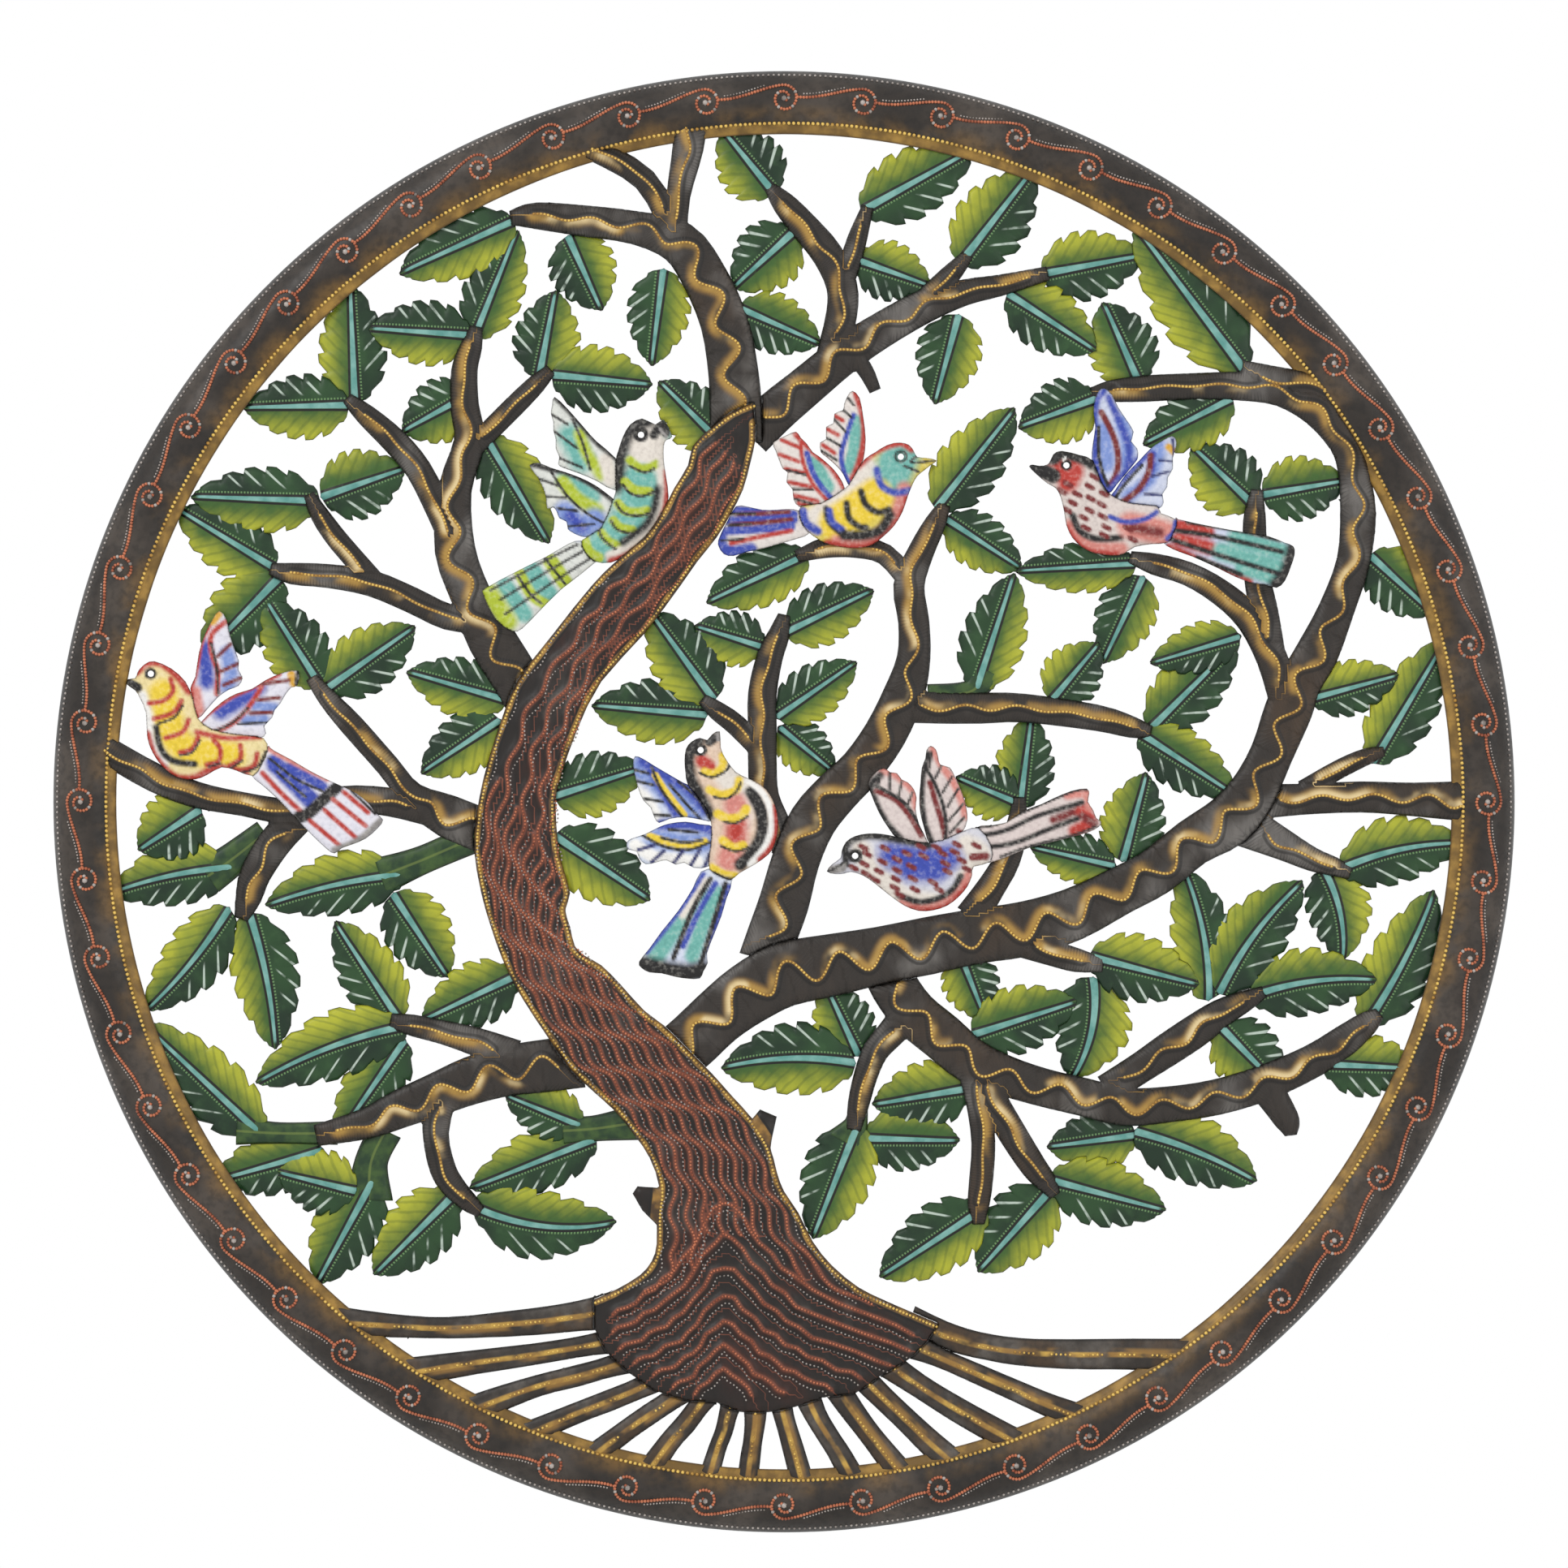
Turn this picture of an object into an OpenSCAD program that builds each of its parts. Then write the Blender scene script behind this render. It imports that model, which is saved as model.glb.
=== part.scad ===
/* [Disc] */
// Outside diameter of the round panel
disc_d = 610; // [500:5:760]
// Width of the domed rim band, seen from the front
rim_w = 27; // [22:0.5:34]
// Height of the rim's crown above the wall
rim_h = 10; // [8.5:0.5:14]
// How far boughs, roots and leaves run in under the rim
rim_tuck = 8; // [5:0.5:10]

/* [Sheet] */
// Thickness of the steel sheet
sheet_t = 1.2; // [0.9:0.1:1.6]
// Depth of the chased lines: midribs, veins, waves and bark ridges
chase_h = 0.5; // [0.3:0.1:0.7]

/* [Leaves] */
// Share of a leaf's width that its dark half takes
dark_share = 0.53; // [0.5:0.01:0.56]
// Teeth along each side of a leaf
teeth = 5; // [4:1:7]
// Depth of the notch behind each tooth, as a share of the half width
notch = 0.18; // [0.08:0.01:0.24]
// Width of a midrib's foot, as a share of the leaf's width
midrib_w = 0.1; // [0.07:0.01:0.14]

/* [Boughs] */
// Length of one wave of the line along a bough
wave_l = 22; // [16:1:30]
// Swing of that line to each side, as a share of the bough's width
wave_a = 0.2; // [0.1:0.01:0.26]
// Width of that line
wave_w = 1.8; // [1.2:0.1:2.6]

/* [Trunk] */
// Number of bark ridges side by side on the trunk
bark_rows = 8; // [6:1:9]
// Length of one wave of a bark ridge
bark_l = 14; // [11:1:20]
// Swing of a bark ridge to each side
bark_a = 1.4; // [0.8:0.1:1.8]
// Width of a bark ridge's line
bark_w = 1.2; // [0.8:0.1:1.6]

/* [Birds] */
// Diameter of the hole punched for a bird's eye
eye_d = 2.6; // [1.6:0.1:3.2]

/* [Hanging loops] */
// Angle of each loop from the top of the rim
loop_angle = 12; // [8:1:20]
// Diameter of the loop's wire
wire_d = 1.8; // [1.4:0.1:2.4]
// Distance between the loop's two legs
loop_w = 16; // [12:1:22]
// Gap between the loop's wire and the wall
loop_gap = 0.4; // [0.2:0.1:1]

/* [Hidden] */

// The design below is drawn on a disc of this diameter and grows with disc_d
drawn_d = 610;
art = disc_d / drawn_d;
disc_r = disc_d / 2;
rim_in_r = disc_r - rim_w;
tuck_r = rim_in_r + rim_tuck;
smooth_fn = 96;

// Depths are measured from the wall. The wall face is at +Y and the front at -Y.
wall_y = rim_h / 2;
back_leaf_d = 0;
front_leaf_d = sheet_t;
bough_d = 2 * sheet_t;
front_d = 3 * sheet_t;
trunk_t = 2 * sheet_t;

bronze = [0.22, 0.2, 0.17];
dark_steel = [0.18, 0.16, 0.14];
copper = [0.42, 0.25, 0.18];
leaf_green = [0.35, 0.45, 0.13];
wire_grey = [0.45, 0.45, 0.46];

// One leaf: [spray, foot x, foot z, tip x, tip z, width, dark side, layer, bow].
// The dark side is +1 on the left and -1 on the right, looking from foot to tip.
// Layer 0 lies behind layer 1. The bow is how far the midrib swings to the left.
LEAVES = [
    ["left_top", -181, 165, -225, 164, 28, -1, 1, 0],
    ["left_top", -179, 166, -181, 216, 29, -1, 0, 0],
    ["left_top", -130, 194, -173, 197, 28, -1, 1, 0],
    ["left_top", -129, 193, -111, 238, 26, 1, 0, 0],
    ["left_top", -102, 176, -95, 213, 29, 1, 0, 0],
    ["left_top", -97, 178, -55, 174, 29, -1, 1, 0],
    ["left_top", -130, 170, -159, 154, 28, -1, 1, 0],
    ["left_top", -124, 152, -98, 108, 28, -1, 1, 0],
    ["crown_left", -112, 242, -160, 220, 28, -1, 1, 0],
    ["crown_left", -90, 236, -76, 205, 29, -1, 1, 0],
    ["crown_left", -27, 149, -53, 174, 27, -1, 1, 0],
    ["crown_left", -50, 223, -56, 183, 27, -1, 1, 0],
    ["crown_left", -19, 206, 15, 191, 26, -1, 1, 0],
    ["crown_right", -4, 253, -26, 280, 30, -1, 1, 0],
    ["crown_right", 5, 238, -21, 214, 30, -1, 1, 0],
    ["crown_right", 32, 246, 79, 272, 30, -1, 1, 0],
    ["crown_right", 30, 226, 61, 215, 26, -1, 1, 0],
    ["crown_right", 73, 224, 104, 264, 32, -1, 1, 0],
    ["crown_right", 107, 220, 150, 228, 30, -1, 0, 0],
    ["crown_right", 73, 203, 63, 166, 28, -1, 1, 0],
    ["crown_right", 93, 212, 130, 188, 28, -1, 1, 0],
    ["right_top", 192, 179, 146, 240, 34, -1, 1, 0],
    ["right_top", 148, 174, 133, 208, 30, -1, 0, 0],
    ["right_top", 131, 168, 98, 156, 28, -1, 1, 0],
    ["right_top", 187, 168, 150, 149, 27, -1, 1, 0],
    ["right_top", 196, 123, 170, 148, 30, -1, 0, 0],
    ["right_top", 199, 128, 234, 134, 28, -1, 1, 0],
    ["left_outer", -193, 125, -247, 127, 28, -1, 1, 0],
    ["left_outer", -193, 127, -158, 139, 30, -1, 1, 0],
    ["left_outer", -212, 97, -253, 122, 28, -1, 0, 0],
    ["left_outer", -210, 94, -242, 61, 32, 1, 0, 0],
    ["left_middle", -193, 48, -216, 84, 28, -1, 1, 0],
    ["left_middle", -191, 47, -154, 73, 28, -1, 1, 0],
    ["left_middle", -243, -3, -269, -20, 30, 1, 1, 0],
    ["left_middle", -229, -27, -281, -38, 27, 1, 0, -2],
    ["left_middle", -231, -44, -266, -87, 27, 1, 1, 2],
    ["left_middle", -223, -46, -212, -103, 29, 1, 1, 2],
    ["left_lower", -158, -30, -216, -43, 27, 1, 1, -2],
    ["left_lower", -163, -38, -140, -73, 29, -1, 0, 0],
    ["left_lower", -160, -91, -187, -50, 27, 1, 0, 0],
    ["left_lower", -157, -93, -220, -117, 29, 1, 1, -3],
    ["left_lower", -158, -99, -187, -141, 26, 1, 0, 0],
    ["left_lower", -217, -139, -267, -92, 29, 1, 1, 0],
    ["left_lower", -192, -145, -238, -158, 27, 1, 0, 0],
    ["left_lower", -178, -162, -211, -154, 28, 1, 1, 0],
    ["left_lower", -171, -157, -195, -201, 30, 1, 0, 0],
    ["left_lower", -137, -163, -171, -197, 30, 1, 0, 0],
    ["left_lower", -130, -168, -70, -175, 30, -1, 1, -5],
    ["trunk_left", -115, 42, -157, 54, 26, -1, 1, 0],
    ["trunk_left", -118, 34, -151, 12, 26, -1, 1, 0],
    ["trunk_left", -111, -72, -151, -91, 28, 1, 1, 0],
    ["trunk_left", -84, -135, -116, -122, 24, 1, 1, 0],
    ["trunk_left", -78, -140, -131, -161, 27, 1, 0, 0],
    ["centre", -29, 42, -56, 79, 30, -1, 1, 0],
    ["centre", -8, 64, -37, 73, 24, -1, 1, 0],
    ["centre", 0, 70, 37, 88, 26, 1, 1, 0],
    ["centre", -32, 36, -80, 40, 28, -1, 0, 0],
    ["centre", -96, 2, -58, 14, 28, 1, 1, 0],
    ["centre", -96, -14, -56, -41, 31, 1, 1, 0],
    ["centre", -3, 35, 30, 58, 24, 1, 1, 0],
    ["centre", -2, 31, 21, 12, 22, 1, 0, 0],
    ["middle", 10, 103, -32, 83, 26, -1, 1, 0],
    ["middle", 67, 118, 99, 97, 24, 1, 0, 0],
    ["middle", 63, 122, 96, 164, 28, -1, 1, 0],
    ["middle", 80, 46, 96, 95, 28, 1, 1, 0],
    ["middle", 111, 42, 131, 66, 26, -1, 1, 0],
    ["middle", 98, -3, 103, 36, 26, -1, 0, 0],
    ["middle", 98, -1, 72, 10, 24, -1, 1, 0],
    ["right_middle", 147, 99, 97, 96, 22, -1, 1, 0],
    ["right_middle", 150, 94, 133, 58, 26, -1, 0, 0],
    ["right_middle", 148, 29, 188, 3, 26, -1, 1, 0],
    ["right_middle", 152, 30, 189, 67, 28, -1, 0, 0],
    ["right_middle", 190, 69, 153, 58, 22, 1, 1, 0],
    ["right_middle", 138, -27, 103, -19, 22, -1, 1, 0],
    ["right_middle", 141, -25, 151, 12, 28, -1, 0, 0],
    ["right_side", 244, 103, 271, 78, 28, -1, 1, 0],
    ["right_side", 219, 43, 256, 53, 24, -1, 1, 0],
    ["right_side", 245, 16, 276, 68, 28, -1, 0, 0],
    ["right_side", 231, -28, 284, -17, 29, -1, 1, 3],
    ["right_side", 225, -28, 233, -66, 28, -1, 0, 3],
    ["lower_middle", 30, -109, -26, -111, 31, -1, 1, -3],
    ["lower_middle", 31, -106, 17, -76, 27, -1, 0, 0],
    ["lower_middle", 31, -134, 12, -182, 31, -1, 1, 0],
    ["lower_middle", 33, -140, 73, -141, 28, -1, 0, 0],
    ["lower_middle", 78, -119, 37, -126, 29, 1, 0, 0],
    ["lower_middle", 84, -169, 40, -198, 30, -1, 1, 0],
    ["lower_middle", 112, -161, 81, -196, 31, -1, 0, 0],
    ["lower_middle", 110, -157, 159, -170, 29, -1, 1, 0],
    ["lower_right", 73, -63, 84, -91, 25, 1, 0, 0],
    ["lower_right", 78, -97, 122, -83, 29, -1, 1, 0],
    ["lower_right", 129, -73, 120, -116, 33, -1, 0, 4],
    ["lower_right", 127, -64, 173, -76, 29, -1, 1, 0],
    ["lower_right", 177, -83, 166, -27, 28, -1, 0, -3],
    ["lower_right", 181, -80, 216, -33, 30, -1, 1, 3],
    ["lower_right", 194, -81, 247, -74, 29, -1, 1, 3],
    ["lower_right", 242, -93, 271, -37, 30, -1, 0, -2],
    ["lower_right", 181, -93, 207, -120, 30, 1, 1, 0],
    ["lower_right", 224, -109, 266, -111, 27, -1, 1, 0],
    ["lower_right", 147, -139, 110, -144, 26, -1, 0, 0],
    ["lower_right", 146, -137, 197, -158, 30, -1, 1, 2],
];

// Green stalks that carry a leaf away from its bough: [spray, layer, [x, z, width] points]
STALKS = [
    ["left_middle", 0, [[-240, -31, 16], [-230, -24, 14], [-216, -13, 12]]],
    ["left_lower", 1, [[-168, -31, 16], [-150, -24, 12], [-127, -14, 13]]],
    ["left_lower", 1, [[-228, -137, 12], [-210, -138, 9], [-186, -138, 10]]],
    ["left_lower", 0, [[-173, -166, 20], [-172, -150, 14], [-166, -137, 14]]],
    ["trunk_left", 1, [[-92, -137, 12], [-78, -136, 11], [-58, -133, 16]]],
    ["middle", 1, [[84, 55, 14], [78, 46, 10], [60, 44, 10]]],
    ["lower_middle", 1, [[26, -142, 18], [30, -134, 10], [31, -126, 8]]],
];

// Boughs and twigs: [bough, [x, z, width] points along its middle]
BRANCHES = [
    ["crown_left", [[-20, 150, 22], [-20, 160, 22], [-21, 178, 21], [-25, 200, 20], [-34, 220, 19],
        [-44, 233, 18], [-62, 239, 14], [-85, 242, 13], [-104, 244, 11], [-114, 243, 6]]],
    ["crown_left", [[-45, 232, 9], [-44, 252, 10], [-40, 272, 13], [-38, 292, 15]]],
    ["crown_left", [[-46, 238, 10], [-58, 259, 10], [-80, 272, 10], [-96, 279, 11]]],
    ["crown_right", [[-14, 152, 18], [-4, 162, 18], [8, 172, 17], [25, 186, 16], [40, 196, 15],
        [58, 206, 14], [75, 212, 11], [90, 215, 9], [110, 220, 6]]],
    ["crown_right", [[20, 186, 13], [24, 203, 13], [24, 215, 13], [18, 228, 13], [8, 240, 12], [0, 249, 10], [-6, 256, 5]]],
    ["crown_right", [[24, 214, 9], [28, 226, 9], [31, 236, 8], [35, 248, 5]]],
    ["crown_right", [[56, 206, 10], [68, 218, 9], [77, 228, 5]]],
    ["crown_right", [[26, 186, 7], [33, 181, 7], [38, 171, 5]]],
    ["left_upper", [[-104, 38, 20], [-112, 52, 20], [-122, 68, 20], [-130, 85, 17], [-137, 105, 17],
        [-137, 130, 14], [-131, 150, 13], [-133, 165, 12], [-133, 180, 11], [-130, 190, 9], [-128, 198, 5]]],
    ["left_upper", [[-136, 104, 11], [-143, 120, 11], [-152, 138, 11], [-162, 150, 11], [-174, 161, 9], [-182, 168, 5]]],
    ["left_upper", [[-126, 76, 12], [-140, 77, 11], [-155, 84, 11], [-172, 91, 11], [-190, 94, 10], [-205, 95, 9], [-214, 97, 5]]],
    ["left_upper", [[-170, 91, 9], [-185, 108, 9], [-193, 119, 8], [-198, 128, 5]]],
    ["left_upper", [[-131, 146, 9], [-123, 154, 9], [-112, 165, 9], [-103, 174, 8], [-97, 180, 5]]],
    ["left_middle", [[-197, 52, 5], [-190, 43, 8], [-180, 32, 10], [-165, 15, 10], [-155, 3, 11], [-140, -6, 18], [-115, -16, 18]]],
    ["left_middle", [[-292, 26, 14], [-280, 20, 12], [-262, 10, 12], [-245, 3, 11], [-225, -1, 10],
        [-205, -4, 11], [-185, 1, 11], [-165, 0, 12], [-148, -4, 12]]],
    ["left_middle", [[-202, -6, 14], [-212, -17, 14], [-220, -30, 13], [-223, -40, 11], [-226, -49, 6]]],
    ["left_lower", [[-84, -108, 22], [-100, -110, 22], [-115, -112, 21], [-130, -116, 20], [-145, -122, 18],
        [-160, -128, 16], [-174, -134, 13], [-195, -139, 9]]],
    ["left_lower", [[-112, -106, 14], [-128, -100, 12], [-142, -96, 10], [-155, -93, 9], [-164, -91, 6]]],
    ["left_lower", [[-143, -120, 15], [-145, -138, 11], [-142, -153, 11], [-137, -161, 10], [-131, -167, 8], [-126, -171, 5]]],
    ["right_main", [[-56, -112, 24], [-42, -103, 24], [-28, -90, 24], [-15, -80, 26], [0, -72, 27], [20, -68, 26],
        [40, -64, 24], [60, -60, 24], [80, -56, 23], [100, -53, 23], [120, -47, 22], [140, -37, 20],
        [155, -29, 20], [170, -17, 20], [185, -8, 22], [195, 4, 20], [203, 20, 18], [210, 38, 20],
        [215, 50, 18], [222, 62, 18], [230, 80, 15], [237, 100, 14], [239, 120, 15], [237, 138, 13],
        [233, 150, 13], [222, 163, 14], [207, 171, 13], [190, 173, 12], [170, 173, 11], [150, 172, 11],
        [136, 171, 9], [128, 170, 5]]],
    ["right_main", [[190, 177, 14], [212, 174, 12], [226, 172, 13], [246, 166, 18]]],
    ["right_main", [[209, 42, 14], [203, 60, 13], [194, 76, 12], [182, 87, 11], [168, 95, 10], [154, 99, 9], [144, 102, 5]]],
    ["right_main", [[203, 60, 12], [200, 78, 12], [197, 94, 11], [196, 110, 10], [196, 120, 9], [197, 130, 5]]],
    ["right_main", [[96, -57, 14], [112, -63, 11], [122, -66, 10], [133, -68, 6]]],
    ["right_main", [[78, -48, 14], [86, -36, 12], [93, -24, 11], [97, -10, 9], [98, 2, 5]]],
    ["right_side", [[196, 0, 15], [215, 1, 13], [240, 2, 13], [262, 1, 14], [292, 0, 18]]],
    ["right_side", [[216, 5, 8], [232, 14, 8], [243, 19, 7], [250, 21, 4]]],
    ["right_side", [[192, -10, 18], [208, -18, 13], [220, -24, 10], [229, -27, 8], [236, -30, 5]]],
    ["middle", [[-8, -66, 22], [-5, -56, 21], [0, -42, 21], [5, -24, 20], [12, -8, 20], [22, 4, 19], [32, 14, 18],
        [42, 28, 18], [50, 45, 17], [54, 60, 14], [54, 75, 13], [52, 90, 13], [57, 104, 11], [63, 116, 9], [67, 124, 5]]],
    ["middle", [[52, 92, 9], [42, 103, 9], [30, 106, 9], [18, 106, 9], [5, 102, 5]]],
    ["middle", [[48, 40, 14], [65, 39, 13], [82, 39, 13], [100, 39, 12], [130, 35, 11], [145, 31, 9], [153, 29, 5]]],
    ["centre", [[2, -22, 12], [-3, -10, 12], [-8, 2, 12], [-9, 15, 12], [-9, 30, 12], [-9, 45, 12], [-6, 60, 11],
        [-2, 70, 9], [0, 78, 5]]],
    ["centre", [[-8, 20, 9], [-20, 32, 9], [-28, 38, 8], [-34, 43, 5]]],
    ["lower_right", [[42, -68, 20], [46, -77, 20], [54, -88, 20], [66, -98, 20], [78, -108, 19], [92, -114, 17],
        [108, -119, 16], [125, -123, 16], [142, -127, 16], [160, -126, 15], [180, -123, 15], [200, -117, 15],
        [220, -108, 14], [234, -99, 13], [243, -92, 10], [248, -88, 5]]],
    ["lower_right", [[134, -120, 13], [148, -111, 13], [160, -103, 14], [172, -95, 14], [182, -88, 12], [192, -83, 9], [200, -79, 5]]],
    ["lower_right", [[52, -88, 14], [44, -97, 12], [38, -104, 11], [34, -114, 10], [31, -126, 9], [29, -137, 6]]],
    ["lower_right", [[78, -108, 14], [81, -124, 11], [83, -142, 10], [82, -158, 10], [81, -168, 9], [81, -176, 5]]],
    ["lower_right", [[80, -110, 13], [87, -124, 12], [95, -138, 12], [104, -152, 11], [109, -158, 9], [113, -164, 5]]],
    ["lower_right", [[200, -118, 14], [206, -127, 12], [210, -134, 10], [211, -139, 5]]],
];

// Roots from the trunk to the rim: [x, z, width] points along each
ROOTS = [
    [[-66, -211, 18], [-78, -213, 14], [-92, -215, 12], [-110, -217, 11], [-140, -219, 9], [-165, -218, 10],
        [-196, -216, 15]],
    [[-64, -223, 13], [-80, -226, 9], [-104, -230, 9], [-140, -235, 11], [-166, -240, 15]],
    [[-56, -230, 13], [-72, -235, 9], [-86, -239, 9], [-102, -243, 9], [-122, -250, 11], [-142, -258, 13]],
    [[-46, -237, 12], [-60, -244, 9], [-72, -249, 9], [-90, -256, 9], [-118, -268, 11]],
    [[-36, -241, 12], [-47, -249, 9], [-56, -255, 9], [-66, -262, 9], [-86, -277, 10]],
    [[-28, -242, 12], [-35, -251, 9], [-41, -259, 9], [-48, -267, 9], [-60, -284, 11]],
    [[-20, -245, 11], [-23, -254, 8], [-25, -262, 7.5], [-28, -270, 7.5], [-33, -287, 9]],
    [[-12, -247, 11], [-12, -257, 9], [-13, -266, 8], [-14, -273, 8.5], [-16, -289, 9]],
    [[-2, -247, 10], [0, -256, 8.5], [2, -263, 8.5], [4, -270, 9], [9, -288, 10]],
    [[8, -243, 12], [13, -255, 9.5], [19, -265, 9], [24, -273, 9.5], [32, -288, 11]],
    [[19, -239, 12], [26, -250, 10.5], [34, -261, 9.5], [41, -270, 10], [52, -284, 12]],
    [[29, -236, 11], [40, -247, 10], [51, -257.5, 10], [62, -268, 11], [76, -280, 12]],
    [[40, -232, 12], [56, -243, 10], [72, -253, 10.5], [88, -262, 11], [108, -273, 12]],
    [[48, -224, 13], [64, -231, 8.5], [80, -238, 8.5], [96, -245, 9], [112, -252, 10], [136, -261, 13]],
    [[52, -217, 15], [66, -222, 12], [80, -226, 11], [98, -229, 11.5], [120, -230, 12.5], [145, -230, 13],
        [180, -231, 15]],
];

// The trunk's left and right edges, from the root crown up to the top
TRUNK_LEFT = [[-79, -207], [-70, -203], [-60, -197], [-55, -191], [-53, -184], [-53, -172], [-52, -160],
    [-56, -148], [-62, -139], [-70, -129], [-80, -120], [-89, -111], [-99, -97], [-110, -80], [-117, -66],
    [-122, -52], [-126, -38], [-129, -20], [-128, -6], [-125, 10], [-119, 30], [-111, 50], [-96, 70], [-80, 90],
    [-70, 100], [-58, 110], [-51, 120], [-46, 130], [-40, 140], [-38, 148], [-31, 155],
    [-22, 162], [-13, 166]];
TRUNK_RIGHT = [[64, -217], [50, -211], [41, -207], [31, -202], [20, -193], [12, -183], [6, -171], [0, -162],
    [-3, -154], [-6, -143], [-13, -132], [-22, -122], [-30, -113], [-40, -103], [-50, -93], [-58, -87],
    [-68, -76], [-76, -68], [-83, -64], [-87, -60], [-89, -52], [-91, -45], [-89, -38], [-92, -27], [-94, -18],
    [-95, 0], [-93, 10], [-86, 30], [-76, 50], [-58, 70], [-43, 90], [-36, 100], [-28, 110], [-22, 120],
    [-17, 130], [-14, 141], [-12, 150], [-12, 157]];
// The scalloped lower edge of the trunk between the roots
TRUNK_FRINGE = [[64, -217], [60, -224], [52, -232], [40, -239], [30, -246], [16, -248], [4, -252], [-6, -254],
    [-18, -254], [-28, -250], [-41, -249], [-54, -245], [-64, -238], [-74, -229], [-79, -219], [-79, -207]];
// Two sawn-off stubs on the trunk
TRUNK_STUBS = [
    [[-15, -134], [-10, -128], [-3, -131], [-5, -140], [-6, -147], [-12, -140]],
    [[-46, -161], [-61, -160], [-63, -163], [-59, -170], [-50, -179], [-46, -174]],
];

// Birds: each has one body outline and several wing and tail outlines
BIRD_LEFT_BODY = [[-59, 159.5], [-64, 157], [-67, 152], [-69, 146], [-70, 142], [-70, 131], [-71, 126],
    [-76, 114], [-84, 109], [-83, 104], [-79, 100], [-72, 99.5], [-64, 103], [-57, 107], [-52, 112.5],
    [-49.5, 118], [-48, 127], [-49, 135], [-50, 142], [-50, 148], [-49, 150.5], [-46.5, 152], [-50, 159],
    [-53.5, 157]];
BIRD_LEFT_WINGS = [
    [[-95.5, 168.5], [-90, 163.5], [-83, 155.5], [-78, 150], [-70, 143], [-67, 136], [-70, 129.5],
        [-78, 133.5], [-85, 136.5], [-92, 139], [-94, 140.5], [-93.5, 143.5], [-95, 147], [-95, 151],
        [-96, 154.5], [-96, 158], [-97, 161.5], [-96.5, 165]],
    [[-106, 140], [-102, 141], [-97, 139], [-92, 137.5], [-85, 135], [-79, 132], [-74, 128.5], [-69, 124],
        [-66, 118], [-76, 112], [-82, 110], [-86, 111], [-88, 112], [-90, 113.5], [-90.5, 116.5],
        [-93.5, 118], [-94.5, 120.5], [-96, 122.5], [-98.5, 122], [-99, 126], [-100, 130], [-102.5, 135]],
    [[-82, 108], [-87, 108.5], [-93, 105.5], [-99, 102], [-111, 96], [-124, 89], [-125, 86], [-120, 76],
        [-113, 71], [-109, 72], [-103, 78], [-92.5, 88.5], [-78, 100], [-79, 104]],
];
BIRD_TOP_MIDDLE_BODY = [[48, 149.5], [52, 148.5], [54, 146], [55.5, 143.5], [60, 143], [63.5, 142],
    [61, 140], [58.5, 138], [55.5, 135.5], [53.5, 132], [51.5, 127], [49.5, 121], [46, 115], [41.5, 110.5],
    [36.5, 106.8], [30.5, 105.5], [24, 106], [17.5, 107.5], [11.5, 111], [8, 115], [6.5, 119], [7, 123],
    [15, 124], [22, 128], [27, 132], [30, 137], [33.5, 142.5], [38, 145.5], [43, 148.5]];
BIRD_TOP_MIDDLE_WINGS = [
    [[28.5, 171], [26.5, 169], [25, 165.5], [24.5, 163], [21, 161.5], [20.5, 157.5], [17.5, 156],
        [17.5, 151], [15, 149.5], [15.3, 145.5], [17.5, 143.5], [21, 140.5], [24.5, 136.5], [27.5, 131],
        [30, 136], [33, 142], [34, 151], [33, 160], [31.5, 168]],
    [[5, 154], [1, 152.5], [-4.5, 149.5], [-3.5, 146], [-2, 142], [-0.5, 138.5], [1.5, 137], [1, 133],
        [3.5, 130], [4, 125.5], [7, 122.5], [16, 121], [24, 124], [25.5, 130], [22.5, 136], [19, 140],
        [14.5, 143.8], [12, 145.5], [9.5, 149], [7, 151.5]],
    [[-20, 123], [-15, 122.8], [-9, 121.5], [-3, 121.5], [4, 121.8], [10, 119], [11, 112], [5, 109.3],
        [-2, 107.3], [-9, 105.3], [-16, 103.8], [-21, 102.3], [-25, 103], [-27.5, 107], [-26.5, 111],
        [-23.5, 117]],
];
BIRD_TOP_RIGHT_BODY = [[115.5, 146], [112, 144.5], [110, 140.5], [106, 139.8], [103.5, 140.3],
    [102, 139.5], [105, 136.3], [109.5, 132.5], [113, 130.5], [115, 127], [116.5, 121], [117.5, 115],
    [120, 109.8], [124, 106], [129, 103.5], [136, 102.5], [141, 103], [146, 106], [153, 107.2],
    [159.5, 107.8], [162, 112], [163.5, 117.3], [157, 120], [155, 123], [145, 124], [137, 127], [132, 133],
    [128.5, 142], [123, 144.3]];
BIRD_TOP_RIGHT_WINGS = [
    [[133.5, 172], [131, 171], [129.3, 167], [128.8, 162], [129.5, 156], [128.5, 149], [128, 142],
        [130, 135], [134.5, 128], [138.5, 132], [146, 141], [147.3, 143.5], [147, 147], [144.5, 150],
        [145.5, 154], [142.5, 159], [139, 164.3], [136.5, 169.3]],
    [[161.5, 152.2], [157, 150], [152.5, 147], [147.8, 142], [142, 136], [138, 130], [134, 124],
        [137, 118], [147, 119], [155.5, 121.5], [158, 124.5], [157.5, 128], [159.5, 131], [159.8, 135],
        [161.8, 138.5], [161.8, 143], [163, 147], [163.2, 150.2]],
    [[160, 118], [171, 116], [179, 114.4], [189, 112.6], [201, 110.7], [208, 108], [212, 106.3],
        [212.5, 103], [211, 98], [208.5, 92], [205, 89], [200, 90.5], [195, 91], [188, 93.5], [180, 97.5],
        [170, 102], [162, 105], [157, 108.5], [156, 114]],
];
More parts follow.
